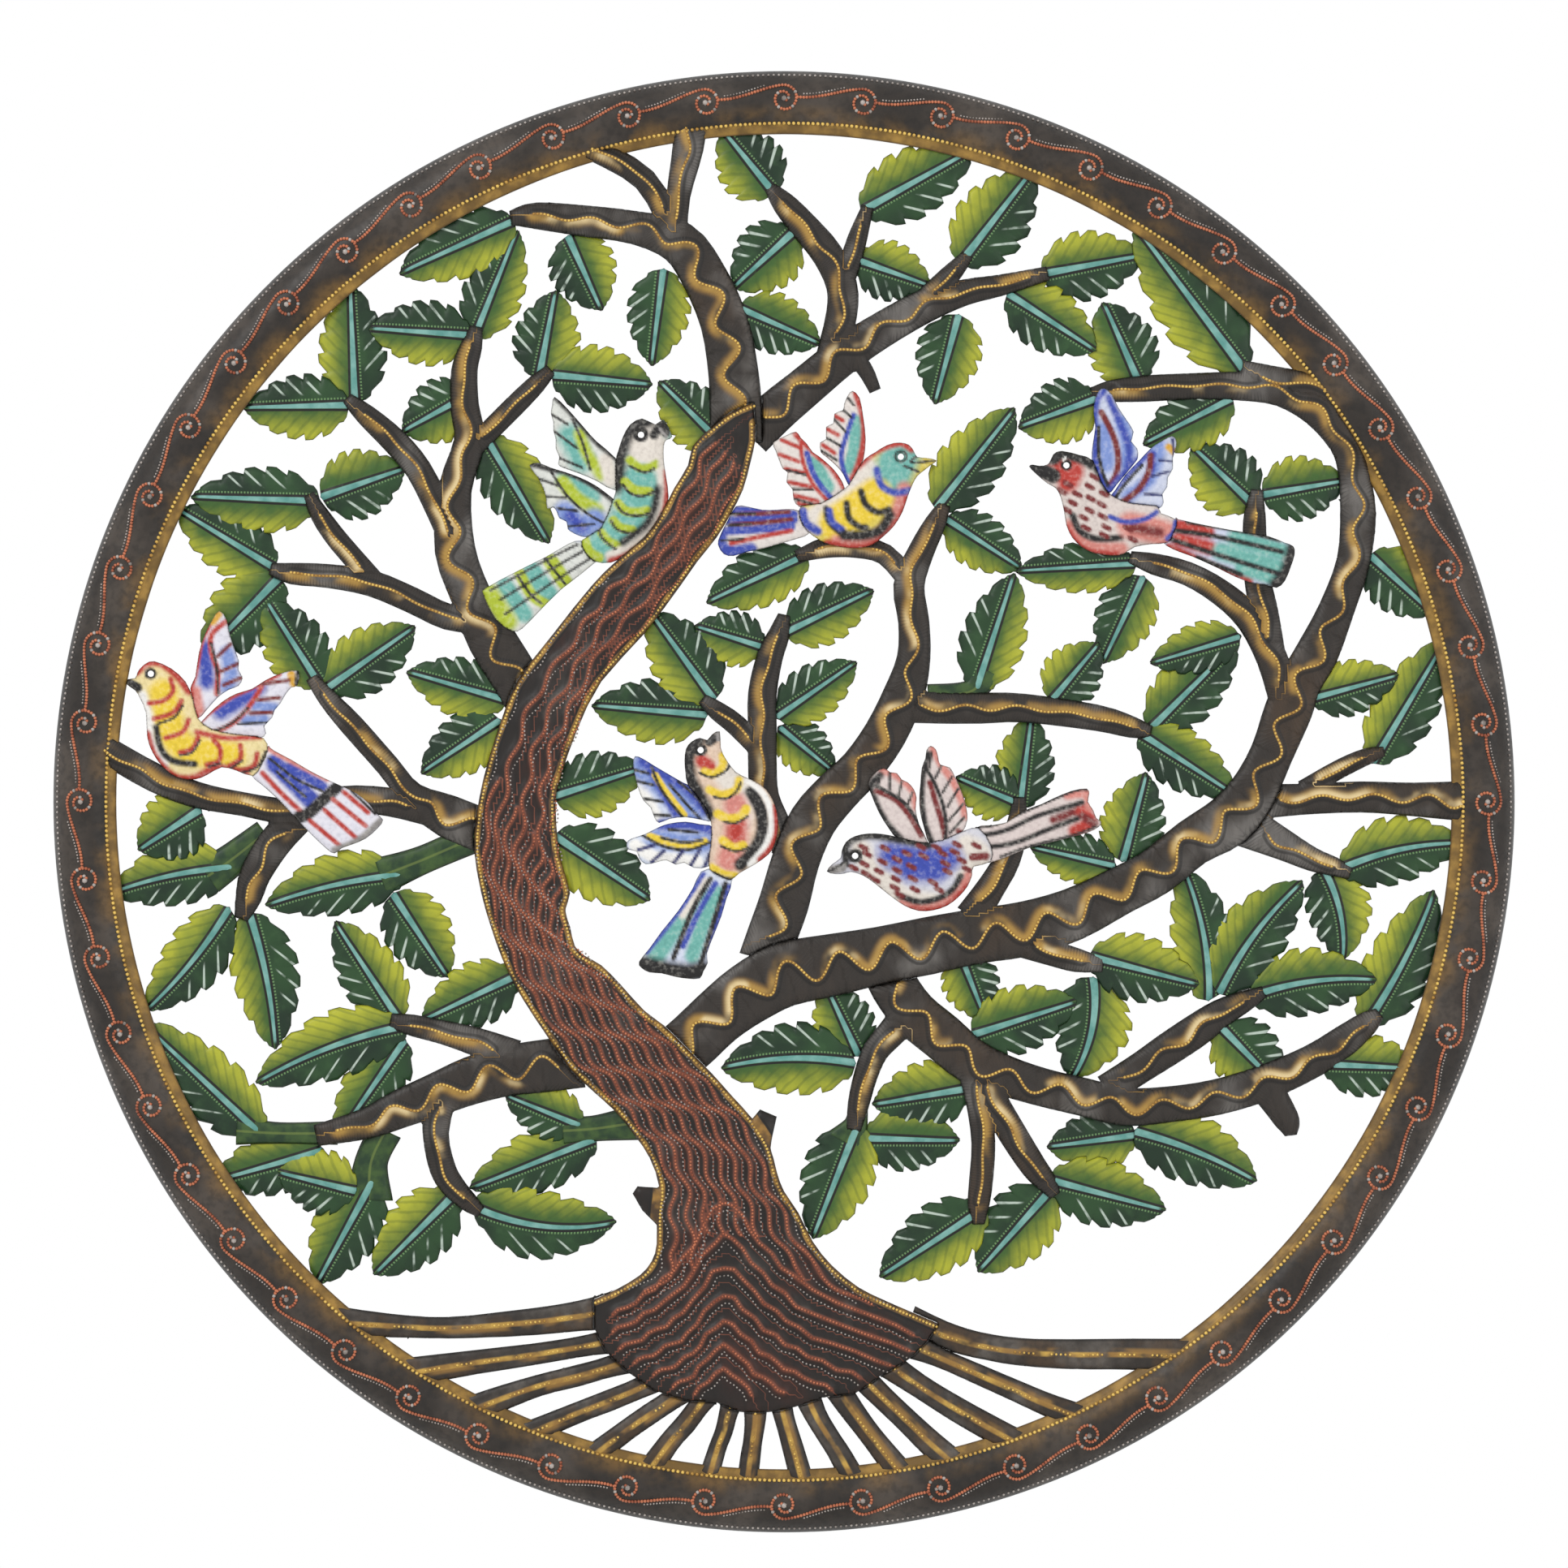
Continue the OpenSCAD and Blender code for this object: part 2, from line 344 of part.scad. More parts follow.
BIRD_FAR_LEFT_BODY = [[-262, 58.5], [-266, 57.3], [-269, 54], [-270, 51.5], [-275, 50.3], [-270, 46.3],
    [-268, 43], [-265.5, 37], [-265, 27], [-262.5, 20], [-258, 14], [-252, 10], [-245, 9.3], [-240, 11.2],
    [-234, 14.3], [-228, 13], [-221, 10.7], [-217.5, 15.5], [-215, 21], [-216.5, 26.5], [-228, 28],
    [-238, 30], [-244, 35], [-246, 43], [-249, 50], [-255, 55.5]];
BIRD_FAR_LEFT_WINGS = [
    [[-235, 79.5], [-238, 75.5], [-241, 69.5], [-243.5, 62], [-245, 52], [-247, 47.5], [-246.5, 40],
        [-244, 34.5], [-240, 38.5], [-235.5, 43.5], [-231, 46.6], [-227, 48.2], [-225.3, 51.5], [-227, 55],
        [-226.8, 58.5], [-228, 62], [-229.5, 66], [-231, 71], [-232, 76]],
    [[-202, 54.5], [-209, 53.6], [-216, 50.5], [-221.5, 47], [-228, 45], [-234, 41.5], [-240, 36],
        [-244, 31], [-243, 27], [-232, 25], [-219, 26], [-215.5, 28.5], [-216.2, 31.5], [-213, 35],
        [-212, 38], [-209.5, 41], [-207.5, 44.5], [-205, 47.5], [-202.5, 48.5]],
    [[-217, 24], [-212, 21.2], [-205, 17.5], [-198, 13.3], [-191, 9.7], [-183.5, 6.3], [-178, 3.5],
        [-173, -0.5], [-170, -4.5], [-166.8, -7.5], [-169, -11], [-174, -15.3], [-179.5, -17.7],
        [-184, -19.3], [-187, -21.5], [-190.5, -19.5], [-198, -12.3], [-203, -7], [-210, 0.5], [-217, 6.8],
        [-222, 11.5], [-220, 18]],
];
BIRD_CENTRE_BODY = [[-35, 26.6], [-38.5, 25], [-40.8, 22], [-41.4, 17], [-41, 12], [-40, 7], [-35, 1],
    [-31, -6], [-30, -14], [-31, -22], [-31, -28], [-26, -31.3], [-22, -32.5], [-18.5, -29.7], [-12, -26],
    [-6.5, -22], [-4, -18], [-2.4, -11], [-3, -4], [-5.5, 2.5], [-9.5, 7], [-15, 9.8], [-20, 12.4],
    [-24, 17.5], [-26.3, 22.5], [-26.7, 29.3], [-30, 28], [-32, 25.7]];
BIRD_CENTRE_WINGS = [
    [[-62, 19], [-58.5, 17.8], [-54, 15], [-48, 11.5], [-42, 8], [-36, 5], [-31, -2], [-29, -8],
        [-35, -7.4], [-41, -6.4], [-47.5, -7.1], [-52, -8.8], [-54, -6.5], [-55.5, -2.5], [-58.5, 0.5],
        [-60.5, 5], [-61.8, 10], [-62.8, 15.5]],
    [[-52, -10.5], [-47.5, -9], [-41, -8.3], [-35, -9.3], [-28, -11], [-27, -20], [-31, -26.8],
        [-37.5, -27.5], [-41.5, -25.3], [-45, -26.2], [-49, -24.3], [-53, -25.2], [-57.5, -26],
        [-60.3, -23.5], [-61.3, -20.7], [-65, -19.8], [-65.4, -17], [-63.5, -15.3], [-58, -13.5]],
    [[-28, -28], [-34.5, -29], [-38, -36], [-44, -45.3], [-51, -54], [-56, -61], [-60.3, -66.5],
        [-59.5, -69], [-56, -71], [-51, -71.4], [-45, -72.9], [-40, -73.6], [-35, -73.5], [-33.5, -70.5],
        [-31.7, -67], [-32, -63], [-29, -55], [-26, -47.5], [-24, -40.5], [-21.5, -32]],
];
BIRD_LOW_RIGHT_BODY = [[35, -13.2], [29.5, -14.3], [25.7, -16.8], [24, -20.5], [23.5, -23.4], [20, -26],
    [17.8, -29], [21.5, -30.1], [25, -29.9], [28, -29.2], [33, -30.8], [38, -34.2], [44, -39], [50, -43.2],
    [56, -45.4], [62, -45.2], [68, -43.2], [73, -39.3], [76.5, -35], [78.3, -30.5], [79, -27], [86, -25],
    [86, -18], [81, -11], [75, -12], [66, -16], [57, -17], [48, -14.8], [41, -13.4]];
BIRD_LOW_RIGHT_WINGS = [
    [[41.5, 14], [37.5, 11.7], [35, 7.5], [36.5, 2.5], [39.5, -4.5], [43.5, -11], [48, -16], [58, -19],
        [60, -17], [56.3, -9.5], [54.8, -3], [55.2, 1.5], [54, 5.3], [51.5, 8.1], [49, 9.3], [47, 11.9],
        [44.2, 12.3]],
    [[61, 23.3], [59.3, 21.5], [58.8, 18], [57.3, 14], [56.8, 8], [56.3, 2], [56.6, -4], [58.3, -11],
        [61.5, -19], [70, -18], [75.5, -10.5], [76.3, -5], [75, 1], [73, 6.5], [71, 10.8], [69, 14.3],
        [65, 15.5], [64.2, 18.5], [63.2, 21.8]],
    [[78, -11.5], [87, -9.7], [93, -8.4], [96, -6], [101, -3.2], [107, -1], [112, 1.4], [119.5, 4.5],
        [126, 5.5], [127, 3], [126.5, 0], [128.7, -3.5], [130, -6.8], [132, -8.3], [131, -10.5],
        [126.5, -12.8], [119.5, -14.7], [112, -16.7], [103, -18.8], [95, -22], [86, -25.3], [80, -24]],
];
bird_steps = 2;

function unit(v) = v / norm(v);
function left_of(v) = [-v[1], v[0]];
function flat(p) = [p[0], p[1]];
function wrap(i, n) = (i + n) % n;
function cubic(a, b, c, d, t) =
    (2 * b + (c - a) * t + (2 * a - 5 * b + 4 * c - d) * t * t + (3 * b - a - 3 * c + d) * t * t * t) / 2;

// A smooth line through open points, and a smooth ring through closed points
function smooth(p, steps) = [
    for (i = [0:len(p) - 2]) for (s = [0:steps - 1])
        cubic(p[max(i - 1, 0)], p[i], p[i + 1], p[min(i + 2, len(p) - 1)], s / steps),
    p[len(p) - 1],
];
function smooth_ring(p, steps) = [
    for (i = [0:len(p) - 1]) for (s = [0:steps - 1])
        cubic(p[wrap(i - 1, len(p))], p[i], p[wrap(i + 1, len(p))], p[wrap(i + 2, len(p))], s / steps),
];
function heading(p, i) = unit(flat(p[min(i + 1, len(p) - 1)]) - flat(p[max(i - 1, 0)]));
function side_point(p, i, reach) = flat(p[i]) + reach * left_of(heading(p, i));
function band(p, widths) = concat(
    [for (i = [0:len(p) - 1]) side_point(p, i, widths[i] / 2)],
    [for (i = [len(p) - 1:-1:0]) side_point(p, i, -widths[i] / 2)]);
function lengths(p, i = 0, run = 0) = i == len(p)
    ? []
    : concat([run], lengths(p, i + 1, i + 1 < len(p) ? run + norm(flat(p[i + 1]) - flat(p[i])) : run));
function blend(a, b, t) = a * (1 - t) + b * t;

// Half width of a leaf at u, from 0 at the foot to 1 at the tip, as a share of the widest
function leaf_swell(u) = pow(sin(180 * pow(u, 0.8)), 0.66);
teeth_from = 0.1;
teeth_to = 0.94;
function tooth_u(k) = teeth_from + (teeth_to - teeth_from) * k / teeth;
// One side of a leaf as [u, half width share] stations, foot to tip
LEAF_SIDE = concat(
    [[0, 0.16]],
    [for (k = [0:teeth - 1]) for (part = [0, 0.5, 0.95])
        let (u = blend(tooth_u(k), tooth_u(k + 1), part))
        [u, leaf_swell(u) * (part == 0 ? 1 - notch : 1)]]);
function leaf_len(f) = norm([f[3] - f[1], f[4] - f[2]]);
function leaf_dir(f) = unit([f[3] - f[1], f[4] - f[2]]);
// A point of leaf f: u along the midrib, across in millimetres to the left
function leaf_point(f, u, across) = art * (
    [f[1], f[2]] + u * leaf_len(f) * leaf_dir(f)
    + (across + f[8] * 4 * u * (1 - u)) * left_of(leaf_dir(f)));
function leaf_share(f, side) = side == f[6] ? dark_share : 1 - dark_share;
function leaf_edge(f, side) = [
    for (s = LEAF_SIDE) leaf_point(f, s[0], side * s[1] * f[5] * leaf_share(f, side))];
function reversed(v) = [for (i = [len(v) - 1:-1:0]) v[i]];

module leaf_outline(f) {
    polygon(concat(leaf_edge(f, 1), [leaf_point(f, 1, 0)], reversed(leaf_edge(f, -1))));
}

midrib_from = 0.07;
midrib_to = 0.9;
midrib_steps = 4;
midrib_tip = 0.5;
module leaf_midrib(f) {
    us = [for (i = [0:midrib_steps]) blend(midrib_from, midrib_to, i / midrib_steps)];
    ws = [for (i = [0:midrib_steps]) f[5] * midrib_w * blend(1, midrib_tip, i / midrib_steps) / 2];
    polygon(concat(
        [for (i = [0:midrib_steps]) leaf_point(f, us[i], ws[i])],
        [for (i = [midrib_steps:-1:0]) leaf_point(f, us[i], -ws[i])]));
}

vein_us = [0.24, 0.42, 0.6];
vein_root = 0.16;
vein_end = 0.62;
vein_lean = 0.14;
vein_half = 0.012;
module leaf_veins(f) {
    for (u = vein_us) {
        reach = f[6] * leaf_swell(u) * f[5] / 2;
        polygon([
            leaf_point(f, u - vein_half, vein_root * f[6] * f[5] / 2),
            leaf_point(f, u + vein_half, vein_root * f[6] * f[5] / 2),
            leaf_point(f, u + vein_lean + vein_half / 2, vein_end * reach),
            leaf_point(f, u + vein_lean - vein_half / 2, vein_end * reach),
        ]);
    }
}

// A flat piece of sheet whose back is depth d from the wall
module plate(d, t) {
    translate([0, wall_y - d, 0]) rotate([90, 0, 0]) linear_extrude(t) children();
}

// A plate with lines chased into its front. The outline is child 0, the lines the others.
module chased_plate(d, t) {
    difference() {
        plate(d, t) children(0);
        plate(d + t - chase_h, 2 * chase_h) children([1:$children - 1]);
    }
}

module under_rim() {
    intersection() {
        circle(r = tuck_r, $fn = smooth_fn);
        children();
    }
}

module stroke(points, steps = 3) {
    p = smooth(art * points, steps);
    polygon(band(p, [for (q = p) q[2]]));
}

// The wavy line along a bough, clear of both of its ends
wave_pitch = 3.6;
wave_end = 9;
function wave_count(p) = max(2, ceil(norm(flat(p[1]) - flat(p[0])) / wave_pitch));
function dense(p) = [
    for (i = [0:len(p) - 2])
        let (n = wave_count([p[i], p[i + 1]]))
        for (s = [0:n - 1])
            cubic(p[max(i - 1, 0)], p[i], p[i + 1], p[min(i + 2, len(p) - 1)], s / n),
    p[len(p) - 1],
];
module wave_line(points) {
    p = dense(art * points);
    run = lengths(p);
    total = run[len(run) - 1];
    line = [for (i = [0:len(p) - 1]) if (run[i] > wave_end && run[i] < total - wave_end)
        side_point(p, i, p[i][2] * wave_a * sin(360 * run[i] / wave_l))];
    if (len(line) > 2) polygon(band(line, [for (q = line) wave_w]));
}

module rim() {
    half = rim_w / 2;
    arc_r = (rim_h * rim_h + half * half) / (2 * rim_h);
    arc_d = rim_h - arc_r;
    lip = half - sqrt(pow(arc_r - sheet_t, 2) - pow(front_d + sheet_t / 2 - arc_d, 2));
    color(bronze) translate([0, wall_y, 0]) rotate([90, 0, 0]) rotate_extrude($fn = 2 * smooth_fn)
        union() {
            intersection() {
                translate([disc_r - half, arc_d]) difference() {
                    circle(r = arc_r, $fn = smooth_fn);
                    circle(r = arc_r - sheet_t, $fn = smooth_fn);
                }
                union() {
                    translate([disc_r - half, 0]) square([rim_w, 2 * rim_h]);
                    translate([rim_in_r - rim_w, front_d]) square([rim_w + half, 2 * rim_h]);
                }
            }
            translate([rim_in_r, front_d]) square([lip, sheet_t]);
        }
}

module trunk_outline() {
    polygon(concat(
        smooth(art * TRUNK_LEFT, 2),
        reversed(smooth(art * TRUNK_RIGHT, 2)),
        art * TRUNK_FRINGE));
    for (stub = TRUNK_STUBS) polygon(art * stub);
}

// A line that stands the share s of the way across the trunk, from left to right
bark_span = 64;
bark_top = 0.93;
function edge_at(p, t) = let (k = t * (len(p) - 1), i = min(floor(k), len(p) - 2)) blend(p[i], p[i + 1], k - i);
function bark_point(s, t) = art * blend(edge_at(TRUNK_LEFT, t), edge_at(TRUNK_RIGHT, t), s);
module bark_line(s) {
    p = [for (i = [0:bark_span]) bark_point(s, bark_top * i / bark_span)];
    fine = smooth(p, 2);
    run = lengths(fine);
    line = [for (i = [0:len(fine) - 1]) side_point(fine, i, bark_a * sin(360 * run[i] / bark_l))];
    polygon(band(line, [for (q = line) bark_w]));
}

module trunk() {
    color(copper) chased_plate(bough_d, trunk_t) {
        trunk_outline();
        for (i = [1:bark_rows]) bark_line(i / (bark_rows + 1));
    }
}

module branch_shape(name) {
    for (b = BRANCHES) if (b[0] == name) stroke(b[1]);
}

module branch_waves(name) {
    for (b = BRANCHES) if (b[0] == name) wave_line(b[1]);
}

// A bough is trimmed where it meets the trunk and the boughs in meets
module bough(name, meets) {
    color(dark_steel) chased_plate(bough_d, sheet_t) {
        under_rim() difference() {
            branch_shape(name);
            trunk_outline();
            for (m = meets) branch_shape(m);
        }
        branch_waves(name);
    }
}
module bough_crown_left() { bough("crown_left", []); }
module bough_crown_right() { bough("crown_right", ["crown_left"]); }
module bough_left_upper() { bough("left_upper", []); }
module bough_left_middle() { bough("left_middle", []); }
module bough_left_lower() { bough("left_lower", []); }
module bough_right_main() { bough("right_main", []); }
module bough_right_side() { bough("right_side", ["right_main"]); }
module bough_middle() { bough("middle", ["right_main"]); }
module bough_lower_right() { bough("lower_right", ["right_main"]); }
module twig_centre() { bough("centre", ["middle"]); }

module root(i) {
    color(dark_steel) chased_plate(bough_d, sheet_t) {
        under_rim() difference() {
            stroke(ROOTS[i - 1]);
            trunk_outline();
            if (i > 1) stroke(ROOTS[i - 2]);
        }
        stroke([for (q = ROOTS[i - 1]) [q[0], q[1], bark_w]]);
    }
}
module root_01() { root(1); }
module root_02() { root(2); }
module root_03() { root(3); }
module root_04() { root(4); }
module root_05() { root(5); }
module root_06() { root(6); }
module root_07() { root(7); }
module root_08() { root(8); }
module root_09() { root(9); }
module root_10() { root(10); }
module root_11() { root(11); }
module root_12() { root(12); }
module root_13() { root(13); }
module root_14() { root(14); }
module root_15() { root(15); }

module spray_layer(name, layer) {
    under_rim() {
        for (f = LEAVES) if (f[0] == name && f[7] == layer) leaf_outline(f);
        for (s = STALKS) if (s[0] == name && s[1] == layer) stroke(s[2]);
    }
}
module spray_lines(name, layer) {
    for (f = LEAVES) if (f[0] == name && f[7] == layer) {
        leaf_midrib(f);
        leaf_veins(f);
    }
}
module leaves(name) {
    color(leaf_green) {
        chased_plate(back_leaf_d, sheet_t) {
            spray_layer(name, 0);
            spray_lines(name, 0);
        }
        chased_plate(front_leaf_d, sheet_t) {
            spray_layer(name, 1);
            spray_lines(name, 1);
        }
    }
}
module leaves_crown_left() { leaves("crown_left"); }
module leaves_crown_right() { leaves("crown_right"); }
module leaves_left_top() { leaves("left_top"); }
module leaves_left_outer() { leaves("left_outer"); }
module leaves_left_middle() { leaves("left_middle"); }
module leaves_left_lower() { leaves("left_lower"); }
module leaves_trunk_left() { leaves("trunk_left"); }
module leaves_centre() { leaves("centre"); }
module leaves_middle() { leaves("middle"); }
module leaves_right_top() { leaves("right_top"); }
module leaves_right_middle() { leaves("right_middle"); }
module leaves_right_side() { leaves("right_side"); }
module leaves_lower_middle() { leaves("lower_middle"); }
module leaves_lower_right() { leaves("lower_right"); }

module inside_rim() {
    intersection() {
        circle(r = rim_in_r, $fn = smooth_fn);
        children();
    }
}
module bird_shape(points) {
    polygon(smooth_ring(art * points, bird_steps));
}
module bird_body(body, eye, tint) {
    color(tint) plate(front_d, sheet_t) inside_rim() difference() {
        bird_shape(body);
        translate(art * eye) circle(d = eye_d, $fn = 32);
        trunk_outline();
    }
}
module bird_wings(body, wings, tint) {
    color(tint) for (wing = wings) plate(front_d, sheet_t) inside_rim() difference() {
        bird_shape(wing);
        bird_shape(body);
        trunk_outline();
    }
}
module bird_left_body() { bird_body(BIRD_LEFT_BODY, [-59.5, 152.7], [0.25, 0.45, 0.35]); }
module bird_left_wings() { bird_wings(BIRD_LEFT_BODY, BIRD_LEFT_WINGS, [0.35, 0.5, 0.6]); }
module bird_top_middle_body() { bird_body(BIRD_TOP_MIDDLE_BODY, [48.6, 143.6], [0.75, 0.62, 0.2]); }
module bird_top_middle_wings() { bird_wings(BIRD_TOP_MIDDLE_BODY, BIRD_TOP_MIDDLE_WINGS, [0.3, 0.45, 0.7]); }
module bird_top_right_body() { bird_body(BIRD_TOP_RIGHT_BODY, [117.5, 140], [0.7, 0.6, 0.5]); }
module bird_top_right_wings() { bird_wings(BIRD_TOP_RIGHT_BODY, BIRD_TOP_RIGHT_WINGS, [0.3, 0.4, 0.75]); }
module bird_far_left_body() { bird_body(BIRD_FAR_LEFT_BODY, [-263.5, 53.3], [0.85, 0.78, 0.45]); }
module bird_far_left_wings() { bird_wings(BIRD_FAR_LEFT_BODY, BIRD_FAR_LEFT_WINGS, [0.4, 0.45, 0.8]); }
module bird_centre_body() { bird_body(BIRD_CENTRE_BODY, [-34.7, 21.5], [0.7, 0.4, 0.25]); }
module bird_centre_wings() { bird_wings(BIRD_CENTRE_BODY, BIRD_CENTRE_WINGS, [0.3, 0.4, 0.75]); }
module bird_low_right_body() { bird_body(BIRD_LOW_RIGHT_BODY, [29.6, -22.5], [0.6, 0.65, 0.8]); }
module bird_low_right_wings() { bird_wings(BIRD_LOW_RIGHT_BODY, BIRD_LOW_RIGHT_WINGS, [0.7, 0.62, 0.58]); }

// A wire staple across the hollow back of the rim, bar towards the wall
module hanging_loop() {
    wire_r = wire_d / 2;
    bar_d = loop_gap + wire_r;
    leg_l = rim_h - bar_d;
    translate([0, wall_y - bar_d, 0]) {
        rotate([0, 90, 0]) cylinder(h = loop_w, r = wire_r, center = true, $fn = 32);
        for (x = [-loop_w / 2, loop_w / 2]) translate([x, 0, 0]) {
            sphere(r = wire_r, $fn = 32);
            rotate([90, 0, 0]) cylinder(h = leg_l, r = wire_r, $fn = 32);
        }
    }
}
module hanging_loops() {
    color(wire_grey) difference() {
        for (a = [-loop_angle, loop_angle])
            rotate([0, a, 0]) translate([0, 0, disc_r - rim_w / 2]) hanging_loop();
        rim();
        rim_front_stock();
    }
}
// Everything in front of the rim's inner surface near its crown
module rim_front_stock() {
    translate([0, wall_y - rim_h + sheet_t / 2, 0]) rotate([90, 0, 0])
        linear_extrude(2 * rim_h) circle(r = disc_r, $fn = smooth_fn);
}

rim();
trunk();
hanging_loops();
root_01();
root_02();
root_03();
root_04();
root_05();
root_06();
root_07();
root_08();
root_09();
root_10();
root_11();
root_12();
root_13();
root_14();
root_15();
bough_crown_left();
bough_crown_right();
bough_left_upper();
bough_left_middle();
bough_left_lower();
bough_right_main();
bough_right_side();
bough_middle();
bough_lower_right();
twig_centre();
leaves_crown_left();
leaves_crown_right();
leaves_left_top();
leaves_left_outer();
leaves_left_middle();
leaves_left_lower();
leaves_trunk_left();
leaves_centre();
leaves_middle();
leaves_right_top();
leaves_right_middle();
leaves_right_side();
leaves_lower_middle();
leaves_lower_right();
bird_left_body();
bird_left_wings();
bird_top_middle_body();
bird_top_middle_wings();
bird_top_right_body();
bird_top_right_wings();
bird_far_left_body();
bird_far_left_wings();
bird_centre_body();
bird_centre_wings();
bird_low_right_body();
bird_low_right_wings();
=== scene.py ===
import math

import bmesh
import bpy
import numpy as np
from mathutils import Matrix, Vector, kdtree, noise


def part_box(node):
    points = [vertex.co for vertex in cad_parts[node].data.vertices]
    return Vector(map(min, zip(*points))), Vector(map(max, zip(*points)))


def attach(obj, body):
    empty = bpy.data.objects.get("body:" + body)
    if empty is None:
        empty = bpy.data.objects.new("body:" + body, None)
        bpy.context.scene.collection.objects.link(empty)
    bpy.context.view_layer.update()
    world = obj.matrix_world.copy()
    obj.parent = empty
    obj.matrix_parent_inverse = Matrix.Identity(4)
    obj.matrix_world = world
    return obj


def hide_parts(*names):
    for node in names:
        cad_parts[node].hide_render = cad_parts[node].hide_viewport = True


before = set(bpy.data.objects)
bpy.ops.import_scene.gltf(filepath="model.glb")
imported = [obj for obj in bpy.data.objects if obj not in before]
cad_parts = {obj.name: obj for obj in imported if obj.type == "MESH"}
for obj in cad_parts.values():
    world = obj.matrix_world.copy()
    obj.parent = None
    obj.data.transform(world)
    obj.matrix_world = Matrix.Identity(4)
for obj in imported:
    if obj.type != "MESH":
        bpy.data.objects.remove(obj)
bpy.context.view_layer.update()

# The panel is worked out in millimetres on its front, x to the right and z up.
MM = 0.001
BODY = "root"
SHEET = 1.2
WALL_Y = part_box("rim")[1].y / MM
RIM_H = (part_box("rim")[1].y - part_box("rim")[0].y) / MM
DISC_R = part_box("rim")[1].x / MM


def paint(red, green, blue):
    """A paint from its tube values, 0 to 255."""
    out = []
    for part in (red, green, blue):
        s = part / 255
        out.append(s / 12.92 if s <= 0.04045 else ((s + 0.055) / 1.055) ** 2.4)
    return (*out, 1.0)


BLACK = paint(14, 13, 12)
SOOT = paint(28, 25, 23)
STEEL = paint(46, 40, 35)
SHEEN = paint(90, 84, 78)
UMBER = paint(70, 52, 34)
# A light silvery grey, used for painted sheen on the boughs
SILVER_SHEEN = paint(122, 118, 114)
GOLD = paint(206, 166, 76)
OLD_GOLD = paint(150, 112, 52)
RUST = paint(88, 44, 30)
RED_OXIDE = paint(128, 70, 50)
BARK = paint(44, 34, 29)
CREAM = paint(222, 200, 150)


# ---------------------------------------------------------------- materials


class Value:
    """A number or colour inside a material, which can be added to and multiplied."""

    def __init__(self, tree, socket):
        self.tree = tree
        self.socket = socket

    def work(self, kind, *others):
        node = self.tree.nodes.new("ShaderNodeMath")
        node.operation = kind
        for slot, item in zip(node.inputs, (self, *others)):
            if isinstance(item, Value):
                self.tree.links.new(item.socket, slot)
            else:
                slot.default_value = item
        return Value(self.tree, node.outputs[0])

    def __add__(self, other):
        return self.work("ADD", other)

    def __sub__(self, other):
        return self.work("SUBTRACT", other)

    def __mul__(self, other):
        return self.work("MULTIPLY", other)

    def __truediv__(self, other):
        return self.work("DIVIDE", other)

    def size(self):
        return self.work("ABSOLUTE")

    def away_from_one(self):
        return (self * -1.0) + 1.0

    def rise(self, low, high):
        """0 below low, 1 above high, smooth between."""
        node = self.tree.nodes.new("ShaderNodeMapRange")
        node.interpolation_type = "SMOOTHSTEP"
        self.tree.links.new(self.socket, node.inputs["Value"])
        for name, item in (("From Min", low), ("From Max", high)):
            if isinstance(item, Value):
                self.tree.links.new(item.socket, node.inputs[name])
            else:
                node.inputs[name].default_value = item
        return Value(self.tree, node.outputs["Result"])

    def within(self, reach, soft=0.3):
        """1 where the size of this is under reach."""
        return self.size().rise(reach, reach + soft).away_from_one()


class Finish:
    """A painted finish that is being mixed."""

    def __init__(self, name, roughness=0.42, coat=0.06, metallic=0.0):
        self.material = bpy.data.materials.new(name)
        self.material.use_nodes = True
        self.tree = self.material.node_tree
        self.shader = self.tree.nodes["Principled BSDF"]
        self.shader.inputs["Roughness"].default_value = roughness
        self.shader.inputs["Metallic"].default_value = metallic
        self.shader.inputs["Coat Weight"].default_value = coat
        self.shader.inputs["Specular IOR Level"].default_value = 0.32
        self.shader.inputs["Coat Roughness"].default_value = 0.3
        self.place = self.tree.nodes.new("ShaderNodeTexCoord").outputs["Object"]

    def measure(self, name):
        node = self.tree.nodes.new("ShaderNodeAttribute")
        node.attribute_name = name
        return Value(self.tree, node.outputs["Fac"])

    def colours(self, name):
        node = self.tree.nodes.new("ShaderNodeAttribute")
        node.attribute_name = name
        return node.outputs["Color"]

    def mottle(self, grain, detail=3.0, stretch=(1, 1, 1), shift=0.0):
        """Cloudy variation whose patches are about grain mm across."""
        place = self.tree.nodes.new("ShaderNodeMapping")
        place.inputs["Scale"].default_value = stretch
        place.inputs["Location"].default_value = (shift, shift, shift)
        self.tree.links.new(self.place, place.inputs["Vector"])
        node = self.tree.nodes.new("ShaderNodeTexNoise")
        node.inputs["Scale"].default_value = 1000 / grain / 2
        node.inputs["Detail"].default_value = detail
        self.tree.links.new(place.outputs["Vector"], node.inputs["Vector"])
        return Value(self.tree, node.outputs["Fac"])

    def mix(self, share, one, other):
        node = self.tree.nodes.new("ShaderNodeMix")
        node.data_type = "RGBA"
        for slot, item in ((node.inputs[0], share), (node.inputs[6], one), (node.inputs[7], other)):
            if isinstance(item, Value):
                self.tree.links.new(item.socket, slot)
            elif isinstance(item, bpy.types.NodeSocket):
                self.tree.links.new(item, slot)
            else:
                slot.default_value = item
        return node.outputs[2]

    def relief(self, height, strength=0.3, depth=0.4):
        node = self.tree.nodes.new("ShaderNodeBump")
        node.inputs["Strength"].default_value = strength
        node.inputs["Distance"].default_value = depth * MM
        self.tree.links.new(height.socket, node.inputs["Height"])
        self.tree.links.new(node.outputs["Normal"], self.shader.inputs["Normal"])

    def cover(self, colour, roughness=None):
        self.tree.links.new(colour, self.shader.inputs["Base Color"])
        if roughness is not None:
            self.tree.links.new(roughness.socket, self.shader.inputs["Roughness"])
        return self.material


